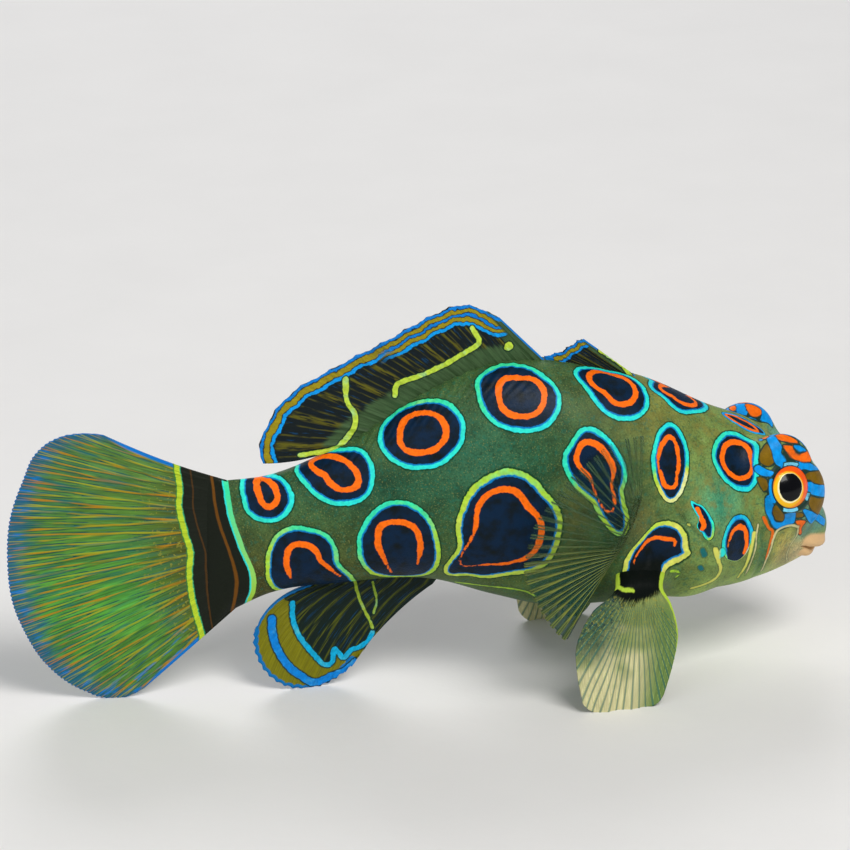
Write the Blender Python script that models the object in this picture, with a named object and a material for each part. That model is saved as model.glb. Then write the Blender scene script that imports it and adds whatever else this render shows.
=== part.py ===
"""Spotted mandarinfish, a life-size still model resting on its pelvic, anal and tail fins.

Every size is in millimetres until a mesh is made. A place on the fish is written (s, y, z):
s runs back from the snout along the body, y to the fish's left and z up from the floor.
The function world() then bends that straight fish along its curved back line.
"""

import math

import bpy
import numpy as np

MM = 0.001
GAP = 0.3

# The back line seen from above: a bow from the head's heading to the tail's heading
SNOUT_X = 33.53
SNOUT_Y = 0.80
HEAD_YAW = math.radians(5.0)
TAIL_YAW = math.radians(-7.0)
BOW_LENGTH = 50.0

# Body stations from the snout back: s, top, bottom, half width
BODY = np.array([
    [1.1, 9.8, 9.8, 0.0],
    [1.6, 11.4, 8.4, 1.4],
    [2.4, 12.8, 7.5, 2.2],
    [4.3, 15.4, 6.7, 3.4],
    [7.5, 18.3, 6.05, 4.8],
    [11.2, 20.7, 5.85, 5.9],
    [16.5, 23.6, 5.8, 6.7],
    [21.0, 25.1, 5.7, 6.7],
    [25.0, 26.0, 5.9, 6.2],
    [29.0, 26.0, 7.1, 5.4],
    [34.0, 24.2, 8.8, 4.3],
    [41.0, 20.0, 8.9, 2.9],
    [46.5, 18.0, 8.3, 1.9],
    [49.8, 17.8, 6.8, 0.95],
])
WIDEST = 0.42
ROUND_TOP = 2.0
ROUND_BELLY = 2.1

# Where the flesh is parted
NECK_CUT = 15.6
TAIL_CUT = 36.0
TAIL_END = 49.6

# The head's rays start here and its axis points at the mouth
HEAD_CENTRE = np.array([10.0, 0.0, 12.2])
MOUTH_FRONT = np.array([0.9, 0.0, 7.65])

# Head forms: centre s, y, z and the three half sizes
BROW = ((6.8, 3.2, 16.3), (2.8, 1.9, 2.95), 0.8)
ORBIT = ((6.15, 3.0, 13.7), (3.5, 2.2, 3.6), 0.8)
SNOUT = ((4.1, 0.0, 10.1), (2.95, 2.5, 2.2), 0.8)
CHEEK = ((10.2, 2.8, 10.9), (4.2, 2.9, 3.6), 1.2)
OPERCLE = ((14.2, 3.6, 12.2), (4.0, 3.6, 5.4), 1.5)

# Lips: two half rings round the snout, stacked at the mouth line
LIP_CENTRE = 4.1
LIP_START = 1.2
LIP_RISE = 0.33
LIP_FADE = (3.0, 4.6)
UPPER_LIP = {"reach": 2.62, "half": 2.2, "middle": 8.3, "thick": 0.52}
LOWER_LIP = {"reach": 1.55, "half": 1.95, "middle": 7.25, "thick": 0.55}

# Eyes
EYE_CENTRE = np.array([6.57, 3.19, 14.58])
EYE_RADIUS = 2.4
EYE_GAZE = (-0.24, 0.92, 0.30)

# Small openings and the cheek spine
NOSTRIL = (3.1, 1.8, 12.7)
NOSTRIL_RADIUS = 0.28
GILL_PORE = (14.6, 5.3, 18.6)
GILL_RADIUS = 0.5
CHEEK_SPINE = (11.3, 6.0, 10.0)
CHEEK_SPINE_LENGTH = 1.5
CHEEK_SPINE_RADIUS = 0.35

# Fins: membrane and ray thickness
MEMBRANE = 0.5
RAY = 0.85
TIP = 0.36

# Tail fin: a fan about a point inside the body, from its lowest ray to its highest
TAIL_FAN = (41.2, 14.15)
TAIL_FAN_LOW = math.radians(-41.0)
TAIL_FAN_HIGH = math.radians(23.3)
TAIL_REACH = (20.6, 25.0, 25.7, 25.9, 25.7, 25.1, 24.5, 23.2, 19.3)
TAIL_RAYS = 10

# Back fins and belly fin: s along the root, then each ray's length and slope at even steps
DORSAL_ROOT = (24.9, 41.0)
DORSAL_LENGTH = (3.4, 5.6, 5.8, 6.0, 6.2, 6.9, 6.0)
DORSAL_SLOPE = (48.0, 52.0, 42.0, 33.0, 25.0, 15.0, -2.0)
DORSAL_RAYS = 9
SPINY_ROOT = (17.3, 24.3)
SPINY_LENGTH = (5.6, 4.2, 2.9, 1.9, 0.7)
SPINY_SLOPE = (39.0, 36.0, 30.0, 24.0, 20.0)
SPINY_RAYS = 4
ANAL_ROOT = (32.8, 42.6)
ANAL_LOBE = (43.4, 4.15)
ANAL_LOBE_RADIUS = 4.25
ANAL_SWEEP = (math.radians(-147.0), math.radians(12.0))
ANAL_RAYS = 8

# Breast fin: its root on the flank, from top to bottom, and its fan
PECTORAL_TOP = (19.1, 16.4)
PECTORAL_BOTTOM = (21.7, 10.9)
PECTORAL_SLOPE = (81.5, 66.0, 45.0, 23.0, 3.0, -20.0, -53.0)
PECTORAL_LENGTH = (6.1, 7.2, 7.5, 8.0, 7.9, 6.7, 6.1)
PECTORAL_RAYS = 14
PECTORAL_SPLAY = 0.22

# Pelvic fin from the flank to the floor: s of its middle, half width, y, z and half thickness
PELVIC = np.array([
    [17.6, 2.30, 6.9, 10.7, 1.15],
    [17.9, 2.05, 7.8, 10.5, 1.00],
    [18.6, 1.90, 8.5, 9.3, 0.80],
    [19.6, 2.60, 8.8, 7.4, 0.50],
    [20.2, 3.35, 9.0, 5.0, 0.42],
    [20.6, 3.75, 9.2, 2.5, 0.38],
    [20.8, 3.60, 9.4, -0.2, 0.26],
])
PELVIC_RAYS = 10
PELVIC_ROOT_SHARE = 0.25
PELVIC_ARM_SHARE = 0.45

# Colours: red, green, blue and roughness
SKIN = (0.16, 0.24, 0.10, 0.45)
SNOUT_SKIN = (0.24, 0.30, 0.13, 0.45)
FIN_GREEN = (0.20, 0.32, 0.06, 0.5)
FIN_DARK = (0.03, 0.05, 0.06, 0.5)
FIN_CLEAR = (0.25, 0.33, 0.20, 0.5)
EYE_ORANGE = (0.85, 0.20, 0.02, 0.15)


def smooth_curve(x, places, values):
    """A smooth curve through the values at the places: cubics whose slopes are central differences."""
    places = np.asarray(places, float)
    values = np.asarray(values, float)
    slopes = np.gradient(values, places)
    i = np.clip(np.searchsorted(places, x) - 1, 0, len(places) - 2)
    step = places[i + 1] - places[i]
    t = np.clip((x - places[i]) / step, 0.0, 1.0)
    rise = values[i] * (2 * t**3 - 3 * t**2 + 1) + values[i + 1] * (3 * t**2 - 2 * t**3)
    return rise + step * (slopes[i] * (t**3 - 2 * t**2 + t) + slopes[i + 1] * (t**3 - t**2))


def even_curve(x, values):
    """The smooth curve through values that stand at even steps from 0 to 1."""
    return smooth_curve(x, np.linspace(0.0, 1.0, len(values)), values)


def body_sizes(s):
    """Top, bottom and half width at s; the root of the distance from the snout rounds the front."""
    root = np.sqrt(np.maximum(s - BODY[0, 0], 0.0))
    places = np.sqrt(BODY[:, 0] - BODY[0, 0])
    return [smooth_curve(root, places, BODY[:, column]) for column in (1, 2, 3)]


def body_distance(s, y, z):
    """How far a place lies outside the plain body, along the line from its section's middle."""
    top, bottom, half = body_sizes(s)
    level = bottom + WIDEST * (top - bottom)
    upper = z >= level
    tall = np.maximum(np.where(upper, top - level, level - bottom), 1e-3)
    power = np.where(upper, ROUND_TOP, ROUND_BELLY)
    share = (np.abs(y) / np.maximum(half, 1e-3)) ** power + (np.abs(z - level) / tall) ** power
    share = np.maximum(share, 1e-6) ** (1.0 / power)
    return np.hypot(y, z - level) * (1.0 - 1.0 / share)


def lump_distance(s, y, z, centre, sizes):
    """How far a place lies outside an ellipsoid that stands on both sides of the body."""
    d = [s - centre[0], np.abs(y) - centre[1], z - centre[2]]
    share = np.sqrt(sum((d[i] / sizes[i]) ** 2 for i in range(3)))
    share = np.maximum(share, 1e-6)
    return np.sqrt(sum(d[i] ** 2 for i in range(3))) * (1.0 - 1.0 / share)


def lip_distance(s, y, z, lip):
    """How far a place lies outside a lip: a tube along half an ellipse that rises to its corners."""
    ahead = (s - LIP_CENTRE) / lip["reach"]
    aside = y / lip["half"]
    ring = np.sqrt(ahead**2 + aside**2)
    off_ring = (ring - 1.0) * np.hypot(s - LIP_CENTRE, y) / np.maximum(ring, 1e-6)
    off_level = z - lip["middle"] - LIP_RISE * (s - LIP_START)
    fade = np.clip((s - LIP_FADE[0]) / (LIP_FADE[1] - LIP_FADE[0]), 0.0, 1.0)
    return np.hypot(off_ring, off_level) - lip["thick"] * (1.0 - fade)


def blend(a, b, width):
    """The union of two distances, filleted over the width."""
    h = np.maximum(width - np.abs(a - b), 0.0) / width
    return np.minimum(a, b) - h * h * width / 4.0


def skin_distance(p):
    """How far places lie outside the skin: the plain body blended with the forms of the head."""
    s, y, z = p[..., 0], p[..., 1], p[..., 2]
    away = body_distance(s, y, z)
    for centre, sizes, width in (BROW, ORBIT, SNOUT, CHEEK, OPERCLE):
        away = blend(away, lump_distance(s, y, z, centre, sizes), width)
    lips = blend(lip_distance(s, y, z, UPPER_LIP), lip_distance(s, y, z, LOWER_LIP), 0.05)
    return blend(away, lips, 0.35)


def to_skin(start, way):
    """Carry each ray from its start out to the skin: coarse steps, then halving."""
    way = way / np.linalg.norm(way, axis=-1, keepdims=True)
    near = np.zeros(way.shape[:-1])
    far = np.full(way.shape[:-1], 20.0)
    found = np.zeros(way.shape[:-1], bool)
    for reach in np.linspace(0.0, 20.0, 81)[1:]:
        outside = skin_distance(start + way * reach) > 0.0
        near = np.where(found | outside, near, reach)
        far = np.where(outside & ~found, reach, far)
        found |= outside
    for _ in range(24):
        middle = (near + far) / 2.0
        outside = skin_distance(start + way * middle[..., None]) > 0.0
        near = np.where(outside, near, middle)
        far = np.where(outside, middle, far)
    return start + way * near[..., None]


def around(s, turn):
    """The direction at an angle round the body, spread evenly over the section at s."""
    top, bottom, half = body_sizes(s)
    tall = (top - bottom) / 2.0
    return np.stack(np.broadcast_arrays(0.0 * turn, half * np.cos(turn), tall * np.sin(turn)), -1)


def middle_height(s):
    """The height that the rays start from at s: the head's own centre, then the section's middle."""
    top, bottom, _ = body_sizes(s)
    share = np.clip((s - HEAD_CENTRE[0]) / 6.0, 0.0, 1.0)
    return HEAD_CENTRE[2] * (1.0 - share) + (top + bottom) / 2.0 * share


def body_rings(places, columns):
    """Rings of skin places at each s."""
    turn = np.arange(columns) * 2.0 * math.pi / columns
    s = np.asarray(places, float)[:, None]
    way = around(s, turn[None, :])
    start = np.stack(np.broadcast_arrays(s, 0.0 * s, middle_height(s)), -1)
    return to_skin(np.broadcast_to(start, way.shape), way)


def head_rings(tilts, columns):
    """Rings of skin places round the axis from the head's centre to the mouth, at each tilt from it."""
    turn = np.arange(columns) * 2.0 * math.pi / columns
    axis = MOUTH_FRONT - HEAD_CENTRE
    axis = axis / np.linalg.norm(axis)
    side = around(np.float64(HEAD_CENTRE[0]), turn)
    side = side / np.linalg.norm(side, axis=-1, keepdims=True)
    tilt = np.asarray(tilts, float)[:, None, None]
    way = np.cos(tilt) * axis + np.sin(tilt) * side[None]
    return to_skin(np.broadcast_to(HEAD_CENTRE, way.shape), way)


def world(p):
    """Bend the straight fish: a place at s is set off from the back line along its left normal."""
    s = np.clip(p[..., 0], 0.0, BOW_LENGTH)
    rate = (TAIL_YAW - HEAD_YAW) / BOW_LENGTH
    yaw = HEAD_YAW + rate * s
    beyond = p[..., 0] - s
    x = SNOUT_X - (np.sin(yaw) - math.sin(HEAD_YAW)) / rate - beyond * np.cos(yaw)
    y = SNOUT_Y + (np.cos(yaw) - math.cos(HEAD_YAW)) / rate - beyond * np.sin(yaw)
    return np.stack([x - np.sin(yaw) * p[..., 1], y + np.cos(yaw) * p[..., 1], p[..., 2]], -1)


def material(name, look):
    """A plain finish of the given colour and roughness."""
    finish = bpy.data.materials.new(name)
    finish.use_nodes = True
    shader = finish.node_tree.nodes["Principled BSDF"]
    shader.inputs["Base Color"].default_value = (*look[:3], 1.0)
    shader.inputs["Roughness"].default_value = look[3]
    shader.inputs["Metallic"].default_value = 0.0
    return finish


def add_node(name, places, faces, look, smooth=True):
    """One named object from places on the straight fish and its faces."""
    mesh = bpy.data.meshes.new(name)
    mesh.from_pydata((world(places) * MM).tolist(), [], faces)
    mesh.update()
    points = np.array([v.co for v in mesh.vertices])
    mesh.calc_loop_triangles()
    corners = points[np.array([t.vertices for t in mesh.loop_triangles])]
    volume = np.einsum("ij,ij->i", corners[:, 0], np.cross(corners[:, 1], corners[:, 2])).sum()
    if volume < 0.0:
        mesh.flip_normals()
    if smooth:
        mesh.shade_smooth()
        mesh.set_sharp_from_angle(angle=math.radians(50.0))
    thing = bpy.data.objects.new(name, mesh)
    thing.data.materials.append(material(name + "_finish", look))
    bpy.context.scene.collection.objects.link(thing)
    return thing


def ring_faces(rows, columns):
    """Quads between neighbouring rings of a closed tube."""
    faces = []
    for i in range(rows - 1):
        for j in range(columns):
            k = (j + 1) % columns
            faces.append((i * columns + j, i * columns + k, (i + 1) * columns + k, (i + 1) * columns + j))
    return faces


def tube(rings, front=None):
    """Places and faces of a closed tube of rings; front is a pole place, and a flat end has a middle."""
    rows, columns = rings.shape[:2]
    first = rings[0].mean(axis=0) if front is None else front
    places = np.concatenate([rings.reshape(-1, 3), [first], [rings[-1].mean(axis=0)]])
    faces = ring_faces(rows, columns)
    for j in range(columns):
        k = (j + 1) % columns
        faces.append((rows * columns, k, j))
        faces.append((rows * columns + 1, (rows - 1) * columns + j, (rows - 1) * columns + k))
    return places, faces


def cut(thing, cutter, operation="DIFFERENCE"):
    """Cut a closed shape out of a node, or fuse it on, and take the shape away."""
    change = thing.modifiers.new("change", "BOOLEAN")
    change.operation = operation
    change.solver = "EXACT"
    change.object = cutter
    bpy.context.view_layer.update()
    evaluated = thing.evaluated_get(bpy.context.evaluated_depsgraph_get())
    mesh = bpy.data.meshes.new_from_object(evaluated)
    thing.modifiers.remove(change)
    thing.data = mesh
    bpy.data.objects.remove(cutter)


def ball(centre, radius, pole, around_count, along_count):
    """Places and faces of a ball whose poles lie along the given direction."""
    pole = np.array(pole) / np.linalg.norm(pole)
    first = np.cross(pole, (1.0, 0.0, 0.0))
    first = first / np.linalg.norm(first)
    second = np.cross(pole, first)
    turn = np.arange(around_count) * 2.0 * math.pi / around_count
    flat = np.cos(turn)[:, None] * first + np.sin(turn)[:, None] * second
    tilt = np.linspace(0.0, math.pi, along_count + 1)[1:-1, None, None]
    rings = np.array(centre) + radius * (np.cos(tilt) * pole + np.sin(tilt) * flat[None])
    places, faces = tube(rings)
    places[-2] = np.array(centre) + radius * pole
    places[-1] = np.array(centre) - radius * pole
    return places, faces


def mirrored(place, side):
    """The same place on the fish's left (side 1) or right (side -1)."""
    return np.array([place[0], place[1] * side, place[2]])


def make_head():
    """The head from the mouth back to the neck cut, with its openings and cheek spines."""
    columns = 48
    tilts = np.radians(np.concatenate([np.linspace(3.0, 24.0, 8), np.linspace(28.0, 84.0, 15)]))
    face = head_rings(tilts, columns)
    rings = np.concatenate([face, body_rings(np.linspace(10.0, NECK_CUT, 7), columns)])
    pole = head_rings([0.0], 1)[0, 0]
    head = add_node("head", *tube(rings, pole), SNOUT_SKIN)
    cut(head, add_node("mouth_cutter", *mouth_blade(), SKIN))
    for side in (-1, 1):
        gaze = mirrored(EYE_GAZE, side)
        socket = ball(mirrored(EYE_CENTRE, side), EYE_RADIUS + GAP, gaze, 20, 12)
        cut(head, add_node("socket_cutter", *socket, SKIN))
        for place, radius in ((NOSTRIL, NOSTRIL_RADIUS), (GILL_PORE, GILL_RADIUS)):
            start = mirrored(place, side)
            mouth = to_skin(np.array([start[0], 0.0, start[2]]), np.array([0.0, float(side), 0.0]))
            cut(head, add_node("pore_cutter", *ball(mouth, radius, (0.0, side, 0.0), 8, 5), SKIN))
        cut(head, add_node("spine_tool", *cheek_spine(side), SKIN), "UNION")
    return head


def mouth_blade():
    """A thin half-ring plate that opens the mouth line between the lips."""
    steps = 14
    turn = np.linspace(-0.50 * math.pi, 0.50 * math.pi, steps)
    level = (UPPER_LIP["middle"] + LOWER_LIP["middle"]) / 2.0
    rings = []
    for share, lift in ((0.72, -0.10), (1.45, -0.16), (1.45, 0.16), (0.72, 0.10)):
        s = LIP_CENTRE - UPPER_LIP["reach"] * share * np.cos(turn)
        y = UPPER_LIP["half"] * share * np.sin(turn)
        z = level + lift + LIP_RISE * (s - LIP_START)
        rings.append(np.stack([s, y, z], -1))
    rings = np.stack(rings, 1)
    return tube(rings)


def cheek_spine(side):
    """A short backward spine on the cheek, its root sunk in the skin."""
    root = mirrored(CHEEK_SPINE, side)
    skin = to_skin(np.array([root[0], 0.0, root[2]]), np.array([0.0, float(side), 0.0]))
    inside = skin - np.array([0.9, 0.5 * side, 0.0])
    tip = inside + np.array([CHEEK_SPINE_LENGTH + 0.9, 0.95 * side, 0.25])
    turn = np.arange(6) * math.pi / 3.0
    circle = np.stack([0.0 * turn, np.cos(turn), np.sin(turn)], -1)
    rings = np.stack([inside + circle * CHEEK_SPINE_RADIUS, (inside + tip) / 2.0 + circle * 0.28])
    places, faces = tube(rings)
    places[-1] = tip
    return places, faces


def make_body_length(name, start, end, rows, columns, look):
    """A length of the body between two flat cuts."""
    return add_node(name, *tube(body_rings(np.linspace(start, end, rows), columns)), look)


def ray_ridges(across, along, rays, forked=True):
    """How far a place stands on a ray, 0 to 1; a ray forks into two past its middle."""
    place = across * rays
    off = np.abs(place - np.floor(place) - 0.5)
    fork = 0.25 * np.clip((along - 0.40) / 0.25, 0.0, 1.0) if forked else 0.0 * along
    return np.clip(1.0 - np.abs(off - fork) / 0.25, 0.0, 1.0)


def fin_thickness(across, along, rays, root=1.0, forked=True, bare=0.0):
    """Membrane and raised rays, both thinner towards the tips; the bare share at the root has no rays."""
    ridge = ray_ridges(across, along, rays, forked) * np.clip((along - bare) / 0.15, 0.0, 1.0)
    full = MEMBRANE + (RAY - MEMBRANE) * ridge * (1.0 - 0.3 * along)
    fade = np.clip((along - 0.75) / 0.25, 0.0, 1.0)
    swell = (root - 1.0) * np.clip(1.0 - along / 0.35, 0.0, 1.0) ** 2
    return full * (1.0 - fade) + TIP * fade + swell


def add_fin(name, middle, side, thick, look):
    """A closed sheet: both faces split into triangles alike, joined by a rim, and none under the floor."""
    rows, columns = thick.shape
    front = middle + side * thick[..., None] / 2.0
    back = middle - side * thick[..., None] / 2.0
    places = np.concatenate([front.reshape(-1, 3), back.reshape(-1, 3)])
    places[:, 2] = np.maximum(places[:, 2], 0.0)
    under = rows * columns
    faces = []
    for i in range(rows - 1):
        for j in range(columns - 1):
            a, b = i * columns + j, i * columns + j + 1
            c, d = a + columns, b + columns
            for one, two, three in ((a, b, d), (a, d, c)):
                faces.append((one, two, three))
                faces.append((under + three, under + two, under + one))
    rim = [j for j in range(columns)]
    rim += [i * columns + columns - 1 for i in range(1, rows)]
    rim += [(rows - 1) * columns + j for j in range(columns - 2, -1, -1)]
    rim += [i * columns for i in range(rows - 2, 0, -1)]
    for a, b in zip(rim, rim[1:] + rim[:1]):
        faces.append((b, a, under + a))
        faces.append((b, under + a, under + b))
    return add_node(name, places, faces, look)


def fan_grid(rows, rays, per_ray):
    """Shares along the rays (rows) and across them (columns)."""
    across = np.linspace(0.0, 1.0, rays * per_ray + 1)
    return np.meshgrid(np.linspace(0.0, 1.0, rows), across, indexing="ij")


def upright(s, z):
    """Places of a fin that stands in the body's middle plane, and its side direction."""
    middle = np.stack([s, 0.0 * s, z], -1)
    side = np.broadcast_to(np.array([0.0, 1.0, 0.0]), middle.shape)
    return middle, side


def make_tail_fin():
    """The tail fin: a fan that starts at the flat end of the tail."""
    along, across = fan_grid(8, TAIL_RAYS, 4)
    angle = TAIL_FAN_LOW + (TAIL_FAN_HIGH - TAIL_FAN_LOW) * across
    root_s = TAIL_END + GAP
    top, bottom, half = body_sizes(np.float64(TAIL_END))
    root_z = bottom + 0.1 + (top - bottom - 0.2) * across
    reach = even_curve(across, TAIL_REACH)
    tip_s = TAIL_FAN[0] + reach * np.cos(angle)
    tip_z = TAIL_FAN[1] + reach * np.sin(angle)
    s = root_s + (tip_s - root_s) * along
    z = root_z + (tip_z - root_z) * along
    thick = fin_thickness(across, along, TAIL_RAYS, 2.0 * half)
    add_fin("tail_fin", *upright(s, z), thick, FIN_GREEN)


def back_fin(name, root, lengths, slopes, rays, per_ray, look):
    """A fin on the back: straight rays from the back line, each with its own length and slope."""
    along, across = fan_grid(6, rays, per_ray)
    root_s = root[0] + (root[1] - root[0]) * across
    top, _, _ = body_sizes(root_s)
    length = even_curve(across, lengths)
    slope = np.radians(even_curve(across, slopes))
    s = root_s + length * along * np.cos(slope)
    z = top + GAP + length * along * np.sin(slope)
    add_fin(name, *upright(s, z), fin_thickness(across, along, rays, forked=False), look)


def make_anal_fin():
    """The fin under the tail: rays that bend from the belly line down to a round lobe on the floor."""
    along, across = fan_grid(8, ANAL_RAYS, 4)
    root_s = ANAL_ROOT[0] + (ANAL_ROOT[1] - ANAL_ROOT[0]) * across
    _, bottom, _ = body_sizes(root_s)
    root_z = bottom - GAP
    turn = ANAL_SWEEP[0] + (ANAL_SWEEP[1] - ANAL_SWEEP[0]) * across
    tip_s = ANAL_LOBE[0] + ANAL_LOBE_RADIUS * np.cos(turn)
    tip_z = ANAL_LOBE[1] + ANAL_LOBE_RADIUS * np.sin(turn)
    bend_s = root_s + 0.75 * (tip_s - root_s)
    bend_z = root_z - 0.15 * (root_z - tip_z)
    s = root_s * (1 - along) ** 2 + 2 * bend_s * along * (1 - along) + tip_s * along**2
    z = root_z * (1 - along) ** 2 + 2 * bend_z * along * (1 - along) + tip_z * along**2
    add_fin("anal_fin", *upright(s, z), fin_thickness(across, along, ANAL_RAYS, forked=False), FIN_DARK)


def sheet_side(middle):
    """The side direction of a curved sheet: the cross product of its two grid directions."""
    side = np.cross(np.gradient(middle, axis=0), np.gradient(middle, axis=1))
    return side / np.linalg.norm(side, axis=-1, keepdims=True)


def flank(s, z):
    """How far the skin stands out sideways at each s and height."""
    start = np.stack([s, 0.0 * s, z], -1)
    return to_skin(start, np.broadcast_to(np.array([0.0, 1.0, 0.0]), start.shape))[..., 1]


def make_pectoral_fin(name, side):
    """The breast fin: a fan that leaves the flank, bends back and stands off from it."""
    along, across = fan_grid(8, PECTORAL_RAYS, 2)
    root_s = PECTORAL_TOP[0] + (PECTORAL_BOTTOM[0] - PECTORAL_TOP[0]) * across
    root_z = PECTORAL_TOP[1] + (PECTORAL_BOTTOM[1] - PECTORAL_TOP[1]) * across
    skin = flank(root_s, root_z)
    slope = np.radians(even_curve(across, PECTORAL_SLOPE))
    length = even_curve(across, PECTORAL_LENGTH) * np.maximum(along - 0.08, 0.0) / 0.92
    stand = 0.55 + 1.1 * np.minimum(along / 0.14, 1.0) + PECTORAL_SPLAY * length
    s = root_s + length * np.cos(slope)
    z = root_z + length * np.sin(slope)
    middle = np.stack([s, (skin + stand) * side, z], -1)
    thick = fin_thickness(across, along, PECTORAL_RAYS, 1.4, forked=False, bare=0.2)
    add_fin(name, middle, sheet_side(middle), thick, FIN_CLEAR)


def make_pelvic_fin(name, side):
    """The pelvic fin: a thick arm from the flank that widens to a fan standing on the floor."""
    along, across = fan_grid(12, PELVIC_RAYS, 2)
    centre, half, out, height, thick = [even_curve(along, PELVIC[:, column]) for column in range(5)]
    place = 2.0 * across - 1.0
    round_end = 1.1 * np.abs(place) ** 5 * np.clip((along - 0.5) / 0.5, 0.0, 1.0)
    s = centre + half * place
    z = height + round_end
    root = np.maximum(flank(s[0], z[0] + thick[0]), flank(s[0], z[0] - thick[0])) + GAP
    out = out + (root - out[0]) * np.clip(1.0 - along / PELVIC_ROOT_SHARE, 0.0, 1.0)
    middle = np.stack([s, out * side, z], -1)
    arm = np.clip(1.0 - along / PELVIC_ARM_SHARE, 0.0, 1.0)
    edge = arm * np.sqrt(1.0 - 0.9 * place**2) + (1.0 - arm) * (1.0 - 0.45 * place**4)
    ridge = ray_ridges(across, along, PELVIC_RAYS, forked=False) - 0.5
    full = 2.0 * thick * edge + 0.3 * ridge * np.clip((along - 0.35) / 0.2, 0.0, 1.0)
    add_fin(name, middle, sheet_side(middle), np.maximum(full, TIP), FIN_CLEAR)


def make_eye(name, side):
    """The eyeball in its socket."""
    places, faces = ball(mirrored(EYE_CENTRE, side), EYE_RADIUS, mirrored(EYE_GAZE, side), 20, 12)
    add_node(name, places, faces, EYE_ORANGE)


def main():
    """Clear the scene and make every node."""
    for thing in list(bpy.data.objects):
        bpy.data.objects.remove(thing)
    make_head()
    make_body_length("trunk", NECK_CUT + GAP, TAIL_CUT, 24, 44, SKIN)
    make_body_length("tail", TAIL_CUT + GAP, TAIL_END, 16, 32, SKIN)
    make_tail_fin()
    back_fin("first_dorsal_fin", SPINY_ROOT, SPINY_LENGTH, SPINY_SLOPE, SPINY_RAYS, 4, FIN_DARK)
    back_fin("second_dorsal_fin", DORSAL_ROOT, DORSAL_LENGTH, DORSAL_SLOPE, DORSAL_RAYS, 4, FIN_DARK)
    make_anal_fin()
    for word, side in (("left", 1), ("right", -1)):
        make_eye("eye_" + word, side)
        make_pectoral_fin("pectoral_fin_" + word, side)
        make_pelvic_fin("pelvic_fin_" + word, side)


main()
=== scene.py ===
"""Looks of the spotted mandarinfish: its skin with the ringed spots, eyes, fins, floor, light and camera.

Lengths are in millimetres until a mesh is made. A place on the fish is written (s, y, z): s runs
back from the snout along the body, y to the fish's left and z up from the floor. The function
world() then bends that straight fish along its curved back line.
"""

import math

import bpy
import numpy as np
from mathutils import Matrix, Vector

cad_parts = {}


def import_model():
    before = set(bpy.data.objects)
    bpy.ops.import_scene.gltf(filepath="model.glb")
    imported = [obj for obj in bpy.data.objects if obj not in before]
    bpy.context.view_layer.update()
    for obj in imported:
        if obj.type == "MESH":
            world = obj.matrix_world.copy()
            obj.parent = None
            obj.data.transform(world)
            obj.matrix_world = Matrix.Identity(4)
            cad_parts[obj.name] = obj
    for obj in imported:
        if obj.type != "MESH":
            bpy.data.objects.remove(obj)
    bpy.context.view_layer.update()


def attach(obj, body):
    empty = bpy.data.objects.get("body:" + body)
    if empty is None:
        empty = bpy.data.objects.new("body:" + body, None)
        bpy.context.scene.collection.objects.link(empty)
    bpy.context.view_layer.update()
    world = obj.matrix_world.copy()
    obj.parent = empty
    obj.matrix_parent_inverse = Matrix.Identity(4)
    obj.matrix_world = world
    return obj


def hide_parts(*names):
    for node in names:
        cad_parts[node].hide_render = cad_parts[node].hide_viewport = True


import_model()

MM = 0.001
PER_MM = 1000.0

# The back line seen from above: a bow from the head's heading to the tail's heading
SNOUT_X = 33.53
SNOUT_Y = 0.80
HEAD_YAW = math.radians(5.0)
TAIL_YAW = math.radians(-7.0)
BOW_LENGTH = 50.0

# Body stations from the snout back: s, top, bottom, half width
BODY = np.array([
    [1.1, 9.8, 9.8, 0.0],
    [1.6, 11.4, 8.4, 1.4],
    [2.4, 12.8, 7.8, 2.2],
    [4.3, 15.8, 7.0, 3.4],
    [7.5, 19.1, 6.2, 4.8],
    [11.2, 20.8, 5.85, 5.9],
    [16.5, 23.6, 5.8, 6.7],
    [21.0, 25.1, 5.7, 6.7],
    [25.0, 26.0, 5.9, 6.2],
    [29.0, 26.0, 7.1, 5.4],
    [34.0, 24.2, 8.8, 4.3],
    [41.0, 20.0, 8.9, 2.9],
    [46.5, 18.0, 8.3, 1.9],
    [49.8, 17.8, 6.8, 0.95],
])
WIDEST = 0.42
ROUND_TOP = 2.0
ROUND_BELLY = 2.1
TAIL_END = 49.6

# The head's rays start here and its axis points at the mouth
HEAD_CENTRE = np.array([10.0, 0.0, 12.2])
MOUTH_FRONT = np.array([0.9, 0.0, 8.0])

# Head forms: centre s, y, z, the three half sizes and the width of the fillet
BROW = ((6.8, 3.65, 16.3), (2.8, 1.40, 2.85), 1.5)
ORBIT = ((6.15, 3.0, 13.7), (3.62, 2.2, 3.6), 0.8)
SNOUT = ((4.1, 0.0, 10.1), (2.95, 2.5, 2.2), 0.8)
CHEEK = ((10.2, 2.8, 10.9), (4.2, 2.9, 3.6), 1.2)
OPERCLE = ((14.2, 3.6, 12.2), (4.0, 3.6, 5.4), 1.5)
PECTORAL_BASE = ((20.2, 5.9, 13.6), (1.7, 1.5, 3.0), 1.2)
PELVIC_BASE = ((18.6, 5.3, 9.9), (2.2, 2.4, 1.9), 1.6)

# Lips: two half rings round the snout, stacked at the mouth line, and the cleft between them. They
# rise towards their corners, and thin out to nothing between the two places in s
LIP_CENTRE = 4.28
LIP_START = 1.2
LIP_RISE = 0.33
LIP_FADE = (3.6, 5.6)
UPPER_LIP = {"reach": 2.54, "half": 2.72, "middle": 8.64, "thick": 0.54}
LOWER_LIP = {"reach": 1.52, "half": 2.40, "middle": 7.66, "thick": 0.52}
LIP_FILLETS = (0.05, 0.30)
CLEFT_HALF = 0.05
CLEFT_DEPTH = 0.80
CLEFT_END = 4.38

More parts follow.
